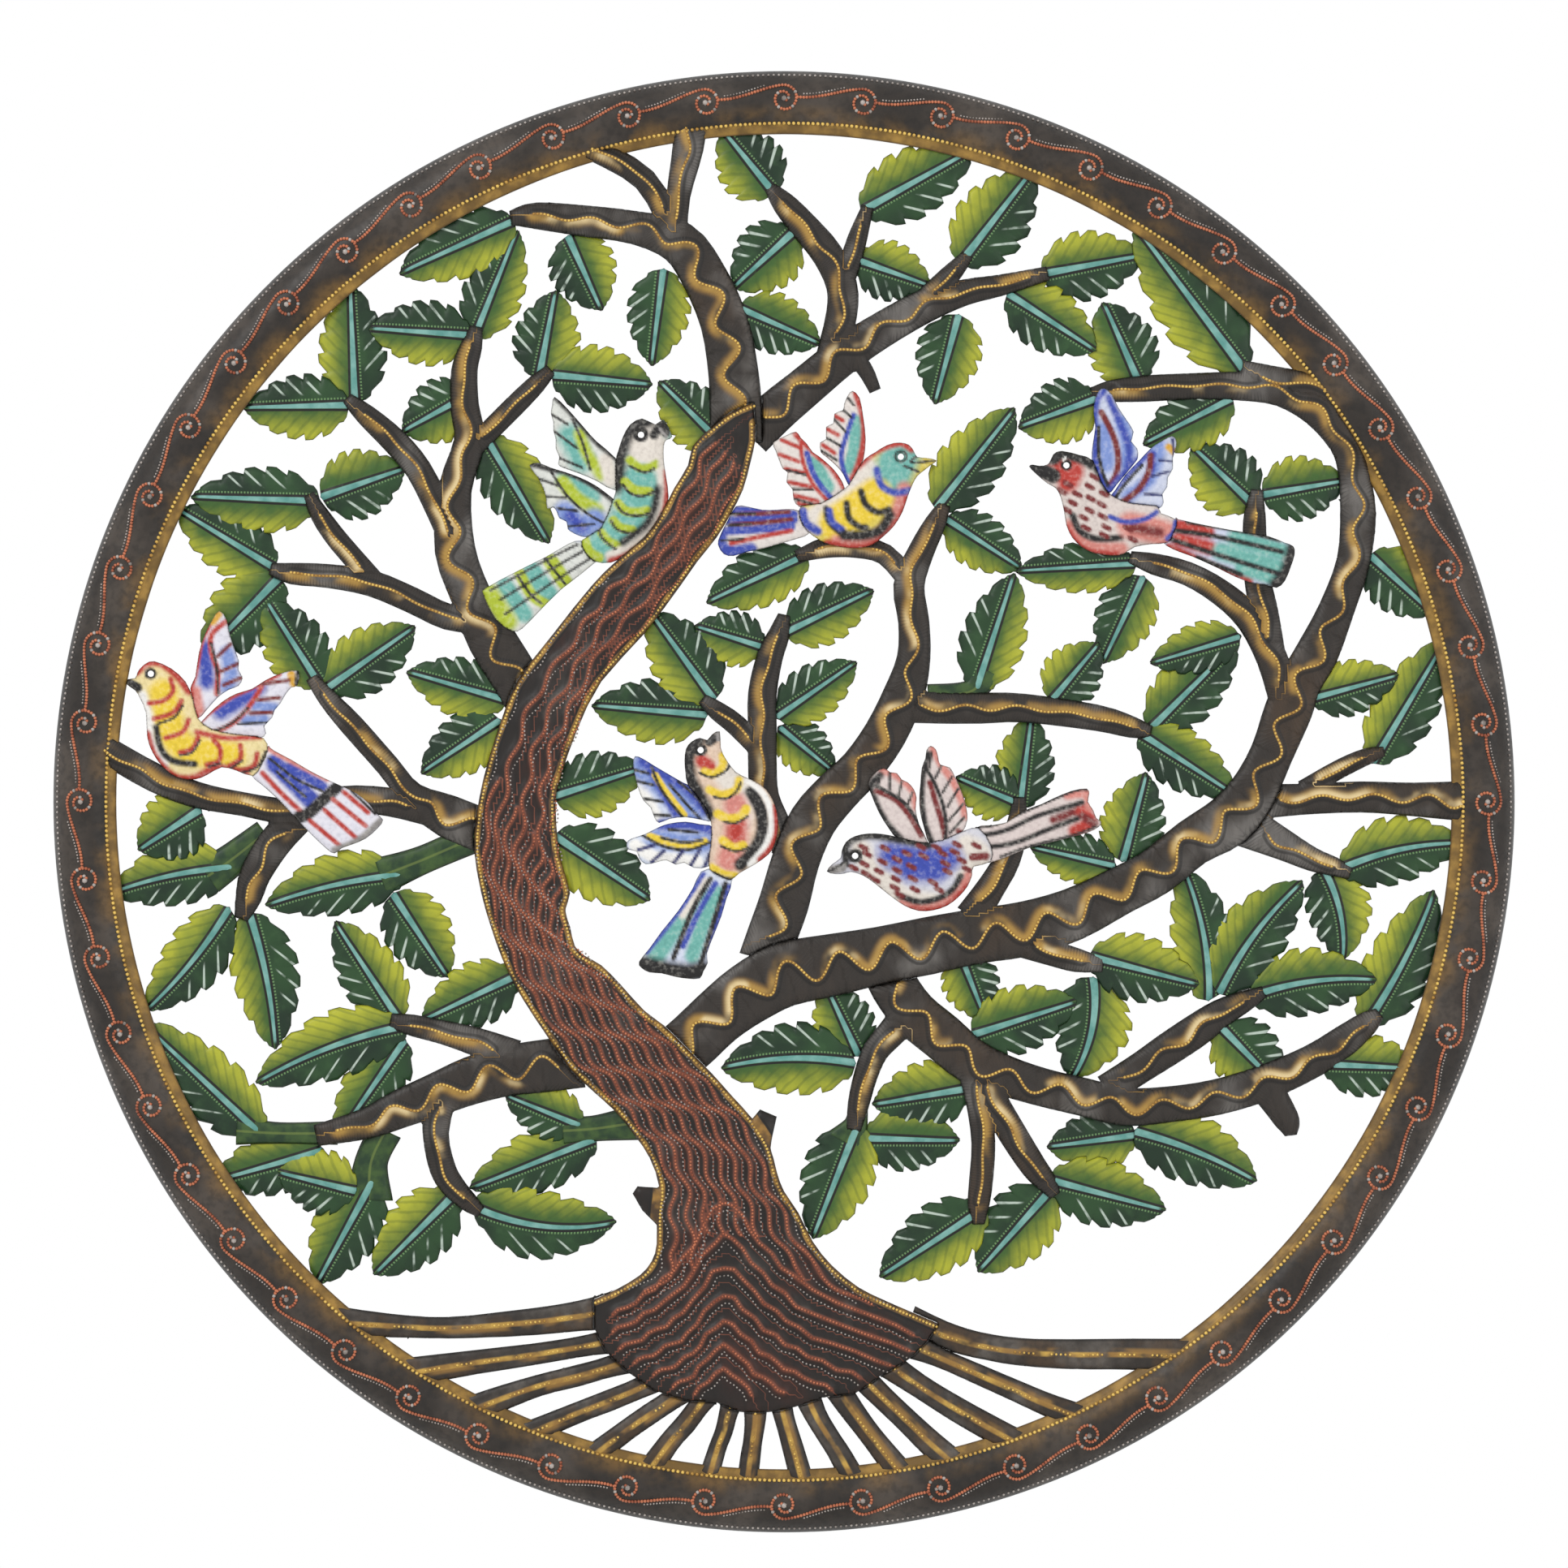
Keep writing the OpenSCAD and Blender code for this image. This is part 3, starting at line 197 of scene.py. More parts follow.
def bough_finish():
    f = Finish("bough_paint")
    edge, line, run = f.measure("edge"), f.measure("line"), f.measure("run")
    cloud = f.mottle(18)
    grain = f.mottle(1.6, 4, stretch=(1, 1, 0.35))
    # painted sheen: lighter silvery grey patches laid at random over the dark steel
    colour = f.mix(cloud.rise(0.5, 0.7) * 0.7, STEEL, SILVER_SHEEN)
    colour = f.mix(f.mottle(26, shift=0.3).rise(0.5, 0.7) * 0.55, colour, UMBER)
    colour = f.mix(grain.rise(0.35, 0.7) * 0.35, colour, SOOT)
    patch = f.mottle(12, shift=0.7).rise(0.42, 0.58)
    wash = line.rise(-0.4, 0.4) * line.rise(1.4, 5.0).away_from_one() * patch
    colour = f.mix(wash * 0.75, colour, OLD_GOLD)
    cream = f.mottle(16, shift=1.3).rise(0.5, 0.6)
    streak = line.rise(0.8, 4.5).away_from_one() * (cream * 0.55 + 0.35)
    colour = f.mix(wash * streak, colour, f.mix(cream, GOLD, CREAM))
    hatch = (run * 5.2 + f.mottle(5) * 5.0).work("SINE").rise(0.2, 0.9)
    colour = f.mix(hatch * edge.rise(1.0, 4.5).away_from_one() * 0.45, colour, BLACK)
    colour = f.mix(line.within(0.35, 0.4) * 0.85, colour, OLD_GOLD)
    shadow = (line + 1.9).within(0.3, 0.6)
    colour = f.mix(shadow * 0.6, colour, BLACK)
    colour = f.mix(edge.rise(0.3, 1.3).away_from_one() * 0.7, colour, BLACK)
    f.relief(grain + hatch * 0.4, 0.5, 0.25)
    return f.cover(colour, grain * 0.25 + 0.3)


def bark_finish():
    f = Finish("bark_paint")
    edge, line, border = f.measure("edge"), f.measure("line"), f.measure("border")
    grain = f.mottle(1.4, 4, stretch=(1, 1, 0.3))
    colour = f.mix(f.mottle(14).rise(0.46, 0.72) * 0.7, BARK, RUST)
    colour = f.mix(f.mottle(9, shift=0.5).rise(0.55, 0.72) * 0.6, colour, SHEEN)
    colour = f.mix(line.rise(-4.2, -1.2) * line.rise(-1.2, -0.4).away_from_one() * 0.2, colour, RUST)
    # painted shade: darker in the valleys between the bark ridges
    colour = f.mix(line.size().rise(0.9, 2.4) * 0.65, colour, BLACK)
    colour = f.mix(grain.rise(0.4, 0.7) * 0.4, colour, BLACK)
    colour = f.mix(line.within(0.6, 0.7) * 0.7, colour, RED_OXIDE)
    trim = border.rise(2.3, 3.0).away_from_one()
    gold = f.mix(f.mottle(3).rise(0.35, 0.7), UMBER, OLD_GOLD)
    colour = f.mix(trim, colour, gold)
    colour = f.mix((border - 3.1).within(0.3, 0.4) * 0.8, colour, BLACK)
    colour = f.mix(edge.rise(0.2, 0.9).away_from_one() * 0.6, colour, BLACK)
    f.relief(grain, 0.5, 0.25)
    return f.cover(colour, grain * 0.25 + 0.32)


def root_finish():
    f = Finish("root_paint")
    edge, line = f.measure("edge"), f.measure("line")
    grain = f.mottle(1.5, 4)
    colour = f.mix(f.mottle(10).rise(0.45, 0.7), STEEL, SHEEN)
    colour = f.mix(f.mottle(7, shift=0.4).rise(0.45, 0.65) * 0.7, colour, UMBER)
    colour = f.mix(grain.rise(0.4, 0.7) * 0.4, colour, SOOT)
    stripe = line.within(0.6, 0.9) * f.mottle(6, shift=0.2).rise(0.3, 0.5)
    warm = line.rise(0.0, 1.0) * line.rise(1.6, 3.4).away_from_one() * f.mottle(9, shift=0.9).rise(0.45, 0.6)
    colour = f.mix(warm * 0.7, colour, OLD_GOLD)
    colour = f.mix(stripe * 0.85, colour, f.mix(f.mottle(4).rise(0.4, 0.7), OLD_GOLD, GOLD))
    colour = f.mix(edge.rise(0.3, 1.4).away_from_one() * 0.75, colour, BLACK)
    f.relief(grain, 0.5, 0.25)
    return f.cover(colour, grain * 0.25 + 0.3)


def leaf_finish():
    f = Finish("leaf_paint", coat=0.1)
    side, along, wide = f.measure("side"), f.measure("along"), f.measure("wide")
    edge, length, tone = f.measure("edge"), f.measure("length"), f.measure("tone")
    off = side.size()
    share = off / (wide * 0.5)
    brush = f.mottle(3.2, 4)
    cloud = f.mottle(11, 2)
    dark = f.mix(cloud.rise(0.35, 0.7), paint(13, 40, 21), paint(32, 66, 32))
    dark = f.mix(brush.rise(0.5, 0.8) * 0.3, dark, paint(62, 98, 56))
    sunlit = (share * 0.9 + brush * 0.5 + tone * 0.25).rise(0.3, 1.15)
    light = f.mix(sunlit, paint(54, 88, 34), paint(170, 172, 44))
    light = f.mix(cloud.rise(0.55, 0.75) * 0.35, light, paint(96, 122, 44))
    # yellow streaks that run out from the midrib of the light half
    lean = along - share * 0.3
    streak = (lean * length * 1.1 + brush * 3.0).work("SINE").rise(0.3, 1.0)
    light = f.mix(streak * 0.32, light, paint(50, 76, 26))
    colour = f.mix(side.rise(-0.15, 0.15), light, dark)
    # pale veins of the dark half
    step = (along - (share - 0.16) * 0.3 - 0.22) / 0.17
    vein = (step + 0.5).work("FRACT") - 0.5
    thick = share * 0.6 + 0.2
    on_vein = (vein * length * 0.17).within(thick * 0.75, 0.5)
    span = share.rise(0.3, 0.46) * edge.rise(0.4, 1.6)
    span = span * step.rise(-0.45, -0.3) * step.rise(2.4, 2.5).away_from_one()
    pale = on_vein * span * side.rise(0.0, 0.3) * brush.rise(0.3, 0.55)
    colour = f.mix(pale * 0.85, colour, paint(186, 200, 188))
    # midrib, its chased lines and the punched row beside it
    half = wide * (along * -0.032 + 0.052)
    on_rib = (side - 0.2).size() - half
    colour = f.mix((on_rib - 0.55).within(0.3, 0.4) * brush.rise(0.15, 0.35), colour, BLACK)
    row = side - half - 1.7
    dots = ((along * length / 1.35).work("FRACT") - 0.5).within(0.18, 0.15) * row.within(0.25, 0.3)
    colour = f.mix(dots * 0.7, colour, paint(112, 150, 96))
    rib = on_rib.rise(-0.25, 0.1).away_from_one() * along.rise(0.93, 0.97).away_from_one()
    colour = f.mix(rib, colour, f.mix(brush.rise(0.3, 0.7), paint(84, 142, 134), paint(124, 172, 164)))
    colour = f.mix(edge.rise(0.1, 0.55).away_from_one() * 0.75, colour, paint(34, 42, 26))
    f.relief(brush + dots * -0.6, 0.45, 0.25)
    return f.cover(colour, brush * 0.2 + 0.34)


def stalk_finish():
    f = Finish("stalk_paint", coat=0.1)
    edge, line = f.measure("edge"), f.measure("line")
    brush = f.mottle(3)
    colour = f.mix(brush.rise(0.35, 0.7), paint(24, 52, 28), paint(58, 84, 38))
    colour = f.mix(line.within(0.3, 0.4) * 0.4, colour, paint(120, 136, 64))
    colour = f.mix(edge.rise(0.2, 1.0).away_from_one() * 0.7, colour, BLACK)
    f.relief(brush, 0.4, 0.25)
    return f.cover(colour, brush * 0.2 + 0.34)


def bird_finish():
    f = Finish("bird_paint", coat=0.1)
    grain = f.mottle(0.9, 4)
    brush = f.mottle(3.5, 3)
    colour = f.mix(grain.rise(0.45, 0.75) * 0.16, f.colours("paint"), paint(240, 236, 226))
    colour = f.mix(grain.rise(0.55, 0.25) * 0.16, colour, BLACK)
    colour = f.mix(f.measure("edge").rise(0.1, 0.7).away_from_one() * 0.5, colour, SOOT)
    f.relief(grain + brush * 0.5, 0.4, 0.2)
    return f.cover(colour, brush * 0.2 + 0.34)


def rim_finish():
    f = Finish("rim_paint")
    reach = f.measure("reach")
    grain = f.mottle(1.5, 4)
    cloud = f.mottle(16)
    colour = f.mix(cloud.rise(0.42, 0.7), paint(40, 34, 29), paint(70, 62, 55))
    warm = reach.rise(3.0, 13.0).away_from_one() * f.mottle(9, 4, shift=0.6).rise(0.4, 0.66)
    colour = f.mix(warm * 0.8, colour, paint(122, 90, 40))
    colour = f.mix(grain.rise(0.4, 0.7) * 0.4, colour, BLACK)
    band = f.mix(f.mottle(4).rise(0.4, 0.7), paint(116, 88, 38), paint(170, 132, 60))
    colour = f.mix(reach.rise(3.4, 4.6).away_from_one() * 0.9, colour, band)
    colour = f.mix(reach.rise(0.0, 0.8).away_from_one() * 0.7, colour, UMBER)
    colour = f.mix(reach.rise(25.4, 26.6) * 0.7, colour, BLACK)
    f.relief(grain + cloud * 0.6, 0.5, 0.3)
    return f.cover(colour, grain * 0.25 + 0.3)


def dot_finish(name, body, worn):
    f = Finish(name, roughness=0.38, metallic=0.25)
    colour = f.mix(f.mottle(2.5).rise(0.4, 0.7), body, worn)
    return f.cover(colour)


def back_finish():
    f = Finish("back_paint", roughness=0.55)
    grain = f.mottle(1.2, 4)
    colour = f.mix(f.mottle(30).rise(0.4, 0.7), paint(46, 43, 41), paint(70, 65, 60))
    colour = f.mix(f.mottle(7, 4, shift=0.5).rise(0.58, 0.75) * 0.5, colour, paint(96, 66, 46))
    f.relief(grain, 0.4, 0.25)
    return f.cover(colour, grain * 0.3 + 0.4)


def wire_finish():
    f = Finish("wire_steel", roughness=0.35, metallic=1.0, coat=0.0)
    grain = f.mottle(0.6, 3, stretch=(0.1, 1, 1))
    colour = f.mix(grain.rise(0.3, 0.7), paint(120, 118, 116), paint(168, 166, 162))
    f.relief(grain, 0.2, 0.1)
    return f.cover(colour)


FINISHES = {
    "bough": bough_finish(),
    "bark": bark_finish(),
    "root": root_finish(),
    "leaf": leaf_finish(),
    "stalk": stalk_finish(),
    "bird": bird_finish(),
    "rim": rim_finish(),
    "gold dots": dot_finish("gold_dots", paint(226, 190, 100), paint(170, 128, 60)),
    "copper dots": dot_finish("copper_dots", paint(190, 116, 84), paint(140, 76, 54)),
    "grey dots": dot_finish("grey_dots", paint(172, 164, 158), paint(118, 110, 104)),
    "back": back_finish(),
    "wire": wire_finish(),
}


# ------------------------------------------------------------ drawing lines


def cubic(a, b, c, d, t):
    return (2 * b + (c - a) * t + (2 * a - 5 * b + 4 * c - d) * t * t + (3 * b - a - 3 * c + d) * t**3) / 2


def smooth(points, steps):
    p = [np.array(q, float) for q in points]
    out = []
    for i in range(len(p) - 1):
        n = steps if isinstance(steps, int) else steps(p[i], p[i + 1])
        for s in range(n):
            out.append(cubic(p[max(i - 1, 0)], p[i], p[i + 1], p[min(i + 2, len(p) - 1)], s / n))
    return np.array(out + [p[-1]])


def headings(p):
    ahead = np.gradient(p[:, :2], axis=0)
    return ahead / np.maximum(np.linalg.norm(ahead, axis=1), 1e-9)[:, None]


def left_of(v):
    return np.stack([-v[:, 1], v[:, 0]], axis=1)


def lengths(p):
    return np.concatenate([[0], np.cumsum(np.linalg.norm(np.diff(p[:, :2], axis=0), axis=1))])


def spaced(p, gap):
    """Points along a line, an even gap apart."""
    run = lengths(p)
    n = max(2, int(round(run[-1] / gap)) + 1)
    at = np.linspace(0, run[-1], n)
    return np.stack([np.interp(at, run, p[:, 0]), np.interp(at, run, p[:, 1])], axis=1)


def search_tree(xz):
    """Finds the nearest of many points."""
    tree = kdtree.KDTree(len(xz))
    for i, (x, z) in enumerate(xz):
        tree.insert((x, z, 0), i)
    tree.balance()
    return tree


class Lines:
    """Drawn lines, with the distance and side of any point from the nearest of them."""

    def __init__(self, lines):
        self.lines = [spaced(line, 0.4) for line in lines if len(line) > 1]
        self.dots = np.concatenate(self.lines)
        self.ahead = np.concatenate([headings(line) for line in self.lines])
        self.run = np.concatenate([lengths(line) for line in self.lines])
        self.tree = search_tree(self.dots)

    def measure(self, xz):
        near = np.array([self.tree.find((x, z, 0))[1] for x, z in xz])
        gap = xz - self.dots[near]
        across = (gap * left_of(self.ahead[near])).sum(axis=1)
        along = (gap * self.ahead[near]).sum(axis=1)
        return np.copysign(np.linalg.norm(gap, axis=1), across), self.run[near] + along


# ------------------------------------------------------------- sheet metal


def cut_sheet(node, pitch):
    """The flat front of a CAD plate, cut into squares of the pitch in mm, with its outline."""
    bm = bmesh.new()
    bm.from_mesh(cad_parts[node].data)
    bmesh.ops.remove_doubles(bm, verts=bm.verts, dist=1e-6)
    bm.normal_update()
    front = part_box(node)[0].y
    bmesh.ops.delete(bm, geom=[f for f in bm.faces if f.normal.y > -0.9], context="FACES")
    for v in bm.verts:
        v.co.y = front
    bmesh.ops.remove_doubles(bm, verts=bm.verts, dist=5e-6)
    bmesh.ops.dissolve_limit(bm, angle_limit=0.01, verts=bm.verts, edges=bm.edges)
    outline = []
    for e in bm.edges:
        if len(e.link_faces) == 1:
            a, b = (np.array((v.co.x, v.co.z)) / MM for v in e.verts)
            n = max(1, int(np.linalg.norm(b - a) / 0.5))
            outline += [a + (b - a) * k / n for k in range(n)]
    for axis in (0, 2):
        spots = [v.co[axis] for v in bm.verts]
        normal = Vector((1, 0, 0)) if axis == 0 else Vector((0, 0, 1))
        for k in range(math.ceil(min(spots) / (pitch * MM)), math.ceil(max(spots) / (pitch * MM))):
            at = normal * k * pitch * MM
            everything = bm.verts[:] + bm.edges[:] + bm.faces[:]
            bmesh.ops.bisect_plane(bm, geom=everything, dist=1e-7, plane_co=at, plane_no=normal)
    return bm, np.array(outline)


def edge_distance(xz, outline):
    tree = search_tree(outline)
    return np.array([tree.find((x, z, 0))[2] for x, z in xz])


def dome(edge, reach, height):
    """A hammered edge: rises from 0 at the edge to height at reach."""
    t = np.clip(edge / reach, 0, 1)
    return height * np.sqrt(1 - (1 - t) ** 2)


def rough(xz, grain):
    """Hand hammering: soft random bumps between -1 and 1."""
    return np.array([noise.noise(Vector((x / grain, z / grain, 0))) for x, z in xz])


def write_measures(mesh, measures):
    for name, values in measures.items():
        kind = "FLOAT_COLOR" if np.ndim(values) == 2 else "FLOAT"
        layer = mesh.attributes.new(name, kind, "POINT")
        key = "color" if kind == "FLOAT_COLOR" else "value"
        layer.data.foreach_set(key, np.asarray(values, dtype=np.float32).ravel())


def add_piece(name, mesh, finishes, nodes=()):
    piece = bpy.data.objects.new(name, mesh)
    bpy.context.scene.collection.objects.link(piece)
    for finish in finishes:
        mesh.materials.append(FINISHES[finish])
    mesh.shade_smooth()
    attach(piece, BODY)
    if nodes:
        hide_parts(*nodes)
    return piece


def thicken(piece, thickness):
    wall = piece.modifiers.new("sheet", "SOLIDIFY")
    wall.thickness = thickness * MM
    wall.offset = -1
    wall.material_offset = 1
    wall.material_offset_rim = 0


class Sheet:
    """A CAD plate redone as hammered sheet: height(xz, edge, line) gives its relief in mm."""

    def __init__(self, node, pitch, lines, height, finish, slot, extra=None):
        bm, outline = cut_sheet(node, pitch)
        mesh = bpy.data.meshes.new(node + "_relief")
        bm.to_mesh(mesh)
        bm.free()
        co = np.empty(len(mesh.vertices) * 3, dtype=np.float32)
        mesh.vertices.foreach_get("co", co)
        co = co.reshape(-1, 3)
        xz = co[:, [0, 2]].astype(float) / MM
        edge = edge_distance(xz, outline)
        if lines:
            line, run = lines.measure(xz)
        else:
            line, run = np.full(len(xz), 99.0), np.zeros(len(xz))
        up = height(xz, edge, line)
        co[:, 1] -= up * MM
        mesh.vertices.foreach_set("co", co.ravel())
        measures = {"edge": edge, "line": line, "run": run}
        if extra:
            measures.update(extra(xz, edge))
        write_measures(mesh, measures)
        mesh.update()
        self.piece = add_piece(node + "_relief", mesh, (finish, "back"), (node,))
        thicken(self.piece, SHEET * 0.9)
        self.xz, self.y = xz, co[:, 1] / MM
        self.tree = search_tree(xz)

    def surface(self, xz, reach=1.6):
        """The front's y in mm at each point, or None off the sheet."""
        out = []
        for x, z in xz:
            _, i, far = self.tree.find((x, z, 0))
            out.append(self.y[i] if far < reach else None)
        return out


# ---------------------------------------------------------------- dot rows


class Dots:
    """Rows of punched dots of one finish, gathered into one piece."""

    def __init__(self, name, finish, slot):
        self.name, self.finish, self.slot = name, finish, slot
        self.all = bmesh.new()

    def row(self, places, radius):
        """places are (x, y, z) in mm."""
        row = bmesh.new()
        for x, y, z in places:
            at = Matrix.Translation((x * MM, y * MM, z * MM))
            bmesh.ops.create_icosphere(row, subdivisions=1, radius=radius * MM, matrix=at)
        mesh = bpy.data.meshes.new("row")
        row.to_mesh(mesh)
        row.free()
        self.all.from_mesh(mesh)
        bpy.data.meshes.remove(mesh)

    def done(self):
        mesh = bpy.data.meshes.new(self.name)
        self.all.to_mesh(mesh)
        self.all.free()
        return add_piece(self.name, mesh, (self.finish,))


def dots_on(sheet, dots, line, gap, radius, sink=0.15, skip=None):
    places = []
    at = spaced(line, gap)
    for (x, z), y in zip(at, sheet.surface(at)):
        if y is not None and not (skip and skip(x, z)):
            places.append((x, y + sink * radius, z))
    if places:
        dots.row(places, radius)


# ------------------------------------------------------------------ design
# The same drawing as the CAD model, in millimetres.

# One leaf: [spray, foot x, foot z, tip x, tip z, width, dark side, layer, bow].
# The dark side is +1 on the left and -1 on the right, looking from foot to tip.
# Layer 0 lies behind layer 1. The bow is how far the midrib swings to the left.
LEAVES = [
    ["left_top", -181, 165, -225, 164, 28, -1, 1, 0],
    ["left_top", -179, 166, -181, 216, 29, -1, 0, 0],
    ["left_top", -130, 194, -173, 197, 28, -1, 1, 0],
    ["left_top", -129, 193, -111, 238, 26, 1, 0, 0],
    ["left_top", -102, 176, -95, 213, 29, 1, 0, 0],
    ["left_top", -97, 178, -55, 174, 29, -1, 1, 0],
    ["left_top", -130, 170, -159, 154, 28, -1, 1, 0],
    ["left_top", -124, 152, -98, 108, 28, -1, 1, 0],
    ["crown_left", -112, 242, -160, 220, 28, -1, 1, 0],
    ["crown_left", -90, 236, -76, 205, 29, -1, 1, 0],
    ["crown_left", -26, 149, -52, 175, 27, -1, 1, 0],
    ["crown_left", -50, 222, -55, 182, 27, -1, 1, 0],
    ["crown_left", -19, 206, 15, 191, 26, -1, 1, 0],
    ["crown_right", -4, 253, -26, 280, 30, -1, 1, 0],
    ["crown_right", 5, 238, -21, 214, 30, -1, 1, 0],
    ["crown_right", 32, 246, 79, 272, 30, -1, 1, 0],
    ["crown_right", 30, 226, 61, 215, 26, -1, 1, 0],
    ["crown_right", 73, 224, 104, 264, 32, -1, 1, 0],
    ["crown_right", 107, 220, 150, 228, 30, -1, 0, 0],
    ["crown_right", 73, 203, 63, 166, 28, -1, 1, 0],
    ["crown_right", 93, 212, 130, 188, 28, -1, 1, 0],
    ["right_top", 192, 179, 146, 240, 34, -1, 1, 0],
    ["right_top", 148, 174, 133, 208, 30, -1, 0, 0],
    ["right_top", 131, 168, 98, 156, 28, -1, 1, 0],
    ["right_top", 187, 168, 150, 149, 27, -1, 1, 0],
    ["right_top", 196, 123, 170, 148, 30, -1, 0, 0],
    ["right_top", 199, 128, 234, 134, 28, -1, 1, 0],
    ["left_outer", -193, 125, -247, 127, 28, -1, 1, 0],
    ["left_outer", -193, 127, -158, 139, 30, -1, 1, 0],
    ["left_outer", -212, 97, -253, 122, 28, -1, 0, 0],
    ["left_outer", -210, 94, -242, 61, 32, 1, 0, 0],
    ["left_middle", -193, 48, -216, 84, 28, -1, 1, 0],
    ["left_middle", -191, 47, -154, 73, 28, -1, 1, 0],
    ["left_middle", -243, -3, -269, -20, 30, 1, 1, 0],
    ["left_middle", -229, -27, -281, -38, 27, 1, 0, -2],
    ["left_middle", -231, -44, -266, -87, 27, 1, 1, 2],
    ["left_middle", -223, -46, -212, -103, 29, 1, 1, 2],
    ["left_lower", -158, -30, -216, -43, 27, 1, 1, -2],
    ["left_lower", -163, -38, -140, -73, 29, -1, 0, 0],
    ["left_lower", -160, -91, -187, -50, 27, 1, 0, 0],
    ["left_lower", -157, -93, -220, -117, 29, 1, 1, -3],
    ["left_lower", -158, -99, -187, -141, 26, 1, 0, 0],
    ["left_lower", -217, -139, -267, -92, 29, 1, 1, 0],
    ["left_lower", -192, -145, -238, -158, 27, 1, 0, 0],
    ["left_lower", -178, -162, -211, -154, 28, 1, 1, 0],
    ["left_lower", -171, -157, -195, -201, 30, 1, 0, 0],
    ["left_lower", -137, -163, -171, -197, 30, 1, 0, 0],
    ["left_lower", -130, -168, -70, -175, 30, -1, 1, -5],
    ["trunk_left", -115, 42, -157, 54, 26, -1, 1, 0],
    ["trunk_left", -118, 34, -151, 12, 26, -1, 1, 0],
    ["trunk_left", -111, -72, -151, -91, 28, 1, 1, 0],
    ["trunk_left", -84, -135, -116, -122, 24, 1, 1, 0],
    ["trunk_left", -78, -140, -131, -161, 27, 1, 0, 0],
    ["centre", -29, 42, -56, 79, 30, -1, 1, 0],
    ["centre", -8, 64, -37, 73, 24, -1, 1, 0],
    ["centre", 0, 70, 37, 88, 26, 1, 1, 0],
    ["centre", -32, 36, -80, 40, 28, -1, 0, 0],
    ["centre", -96, 2, -58, 14, 28, 1, 1, 0],
    ["centre", -96, -14, -56, -41, 31, 1, 1, 0],
    ["centre", -3, 35, 30, 58, 24, 1, 1, 0],
    ["centre", -2, 31, 21, 12, 22, 1, 0, 0],
    ["middle", 10, 103, -32, 83, 26, -1, 1, 0],
    ["middle", 67, 118, 99, 97, 24, 1, 0, 0],
    ["middle", 63, 122, 96, 164, 28, -1, 1, 0],
    ["middle", 80, 46, 96, 95, 28, 1, 1, 0],
    ["middle", 111, 42, 131, 66, 26, -1, 1, 0],
    ["middle", 98, -3, 103, 36, 26, -1, 0, 0],
    ["middle", 98, -1, 72, 10, 24, -1, 1, 0],
    ["right_middle", 147, 99, 97, 96, 22, -1, 1, 0],
    ["right_middle", 150, 94, 133, 58, 26, -1, 0, 0],
    ["right_middle", 148, 29, 188, 3, 26, -1, 1, 0],
    ["right_middle", 152, 30, 189, 67, 28, -1, 0, 0],
    ["right_middle", 190, 69, 153, 58, 22, 1, 1, 0],
    ["right_middle", 138, -27, 103, -19, 22, -1, 1, 0],
    ["right_middle", 141, -25, 151, 12, 28, -1, 0, 0],
    ["right_side", 244, 103, 271, 78, 28, -1, 1, 0],
    ["right_side", 219, 43, 256, 53, 24, -1, 1, 0],
    ["right_side", 245, 16, 276, 68, 28, -1, 0, 0],
    ["right_side", 231, -28, 284, -17, 29, -1, 1, 3],
    ["right_side", 225, -28, 233, -66, 28, -1, 0, 3],
    ["lower_middle", 30, -109, -26, -111, 31, -1, 1, -3],
    ["lower_middle", 31, -106, 17, -76, 27, -1, 0, 0],
    ["lower_middle", 31, -134, 12, -182, 31, -1, 1, 0],
    ["lower_middle", 33, -140, 73, -141, 28, -1, 0, 0],
    ["lower_middle", 78, -119, 37, -126, 29, 1, 0, 0],
    ["lower_middle", 84, -169, 40, -198, 30, -1, 1, 0],
    ["lower_middle", 112, -161, 81, -196, 31, -1, 0, 0],
    ["lower_middle", 110, -157, 159, -170, 29, -1, 1, 0],
    ["lower_right", 73, -63, 84, -91, 25, 1, 0, 0],
    ["lower_right", 78, -97, 122, -83, 29, -1, 1, 0],
    ["lower_right", 129, -73, 120, -116, 33, -1, 0, 4],
    ["lower_right", 127, -64, 173, -76, 29, -1, 1, 0],
    ["lower_right", 177, -83, 166, -27, 28, -1, 0, -3],
    ["lower_right", 181, -80, 216, -33, 30, -1, 1, 3],
    ["lower_right", 194, -81, 247, -74, 29, -1, 1, 3],
    ["lower_right", 242, -93, 271, -37, 30, -1, 0, -2],
    ["lower_right", 181, -93, 207, -120, 30, 1, 1, 0],
    ["lower_right", 224, -109, 266, -111, 27, -1, 1, 0],
    ["lower_right", 147, -139, 110, -144, 26, -1, 0, 0],
    ["lower_right", 146, -137, 197, -158, 30, -1, 1, 2],
]

# Green stalks that carry a leaf away from its bough: [spray, layer, [x, z, width] points]
STALKS = [
    ["left_middle", 0, [[-240, -31, 16], [-230, -24, 14], [-216, -13, 12]]],
    ["left_lower", 1, [[-168, -31, 16], [-150, -24, 12], [-127, -14, 13]]],
    ["left_lower", 1, [[-228, -137, 12], [-210, -138, 9], [-186, -138, 10]]],
    ["left_lower", 0, [[-173, -166, 20], [-172, -150, 14], [-166, -137, 14]]],
    ["trunk_left", 1, [[-92, -137, 12], [-78, -136, 11], [-58, -133, 16]]],
    ["middle", 1, [[84, 55, 14], [78, 46, 10], [60, 44, 10]]],
    ["lower_middle", 1, [[26, -142, 18], [30, -134, 10], [31, -126, 8]]],
]

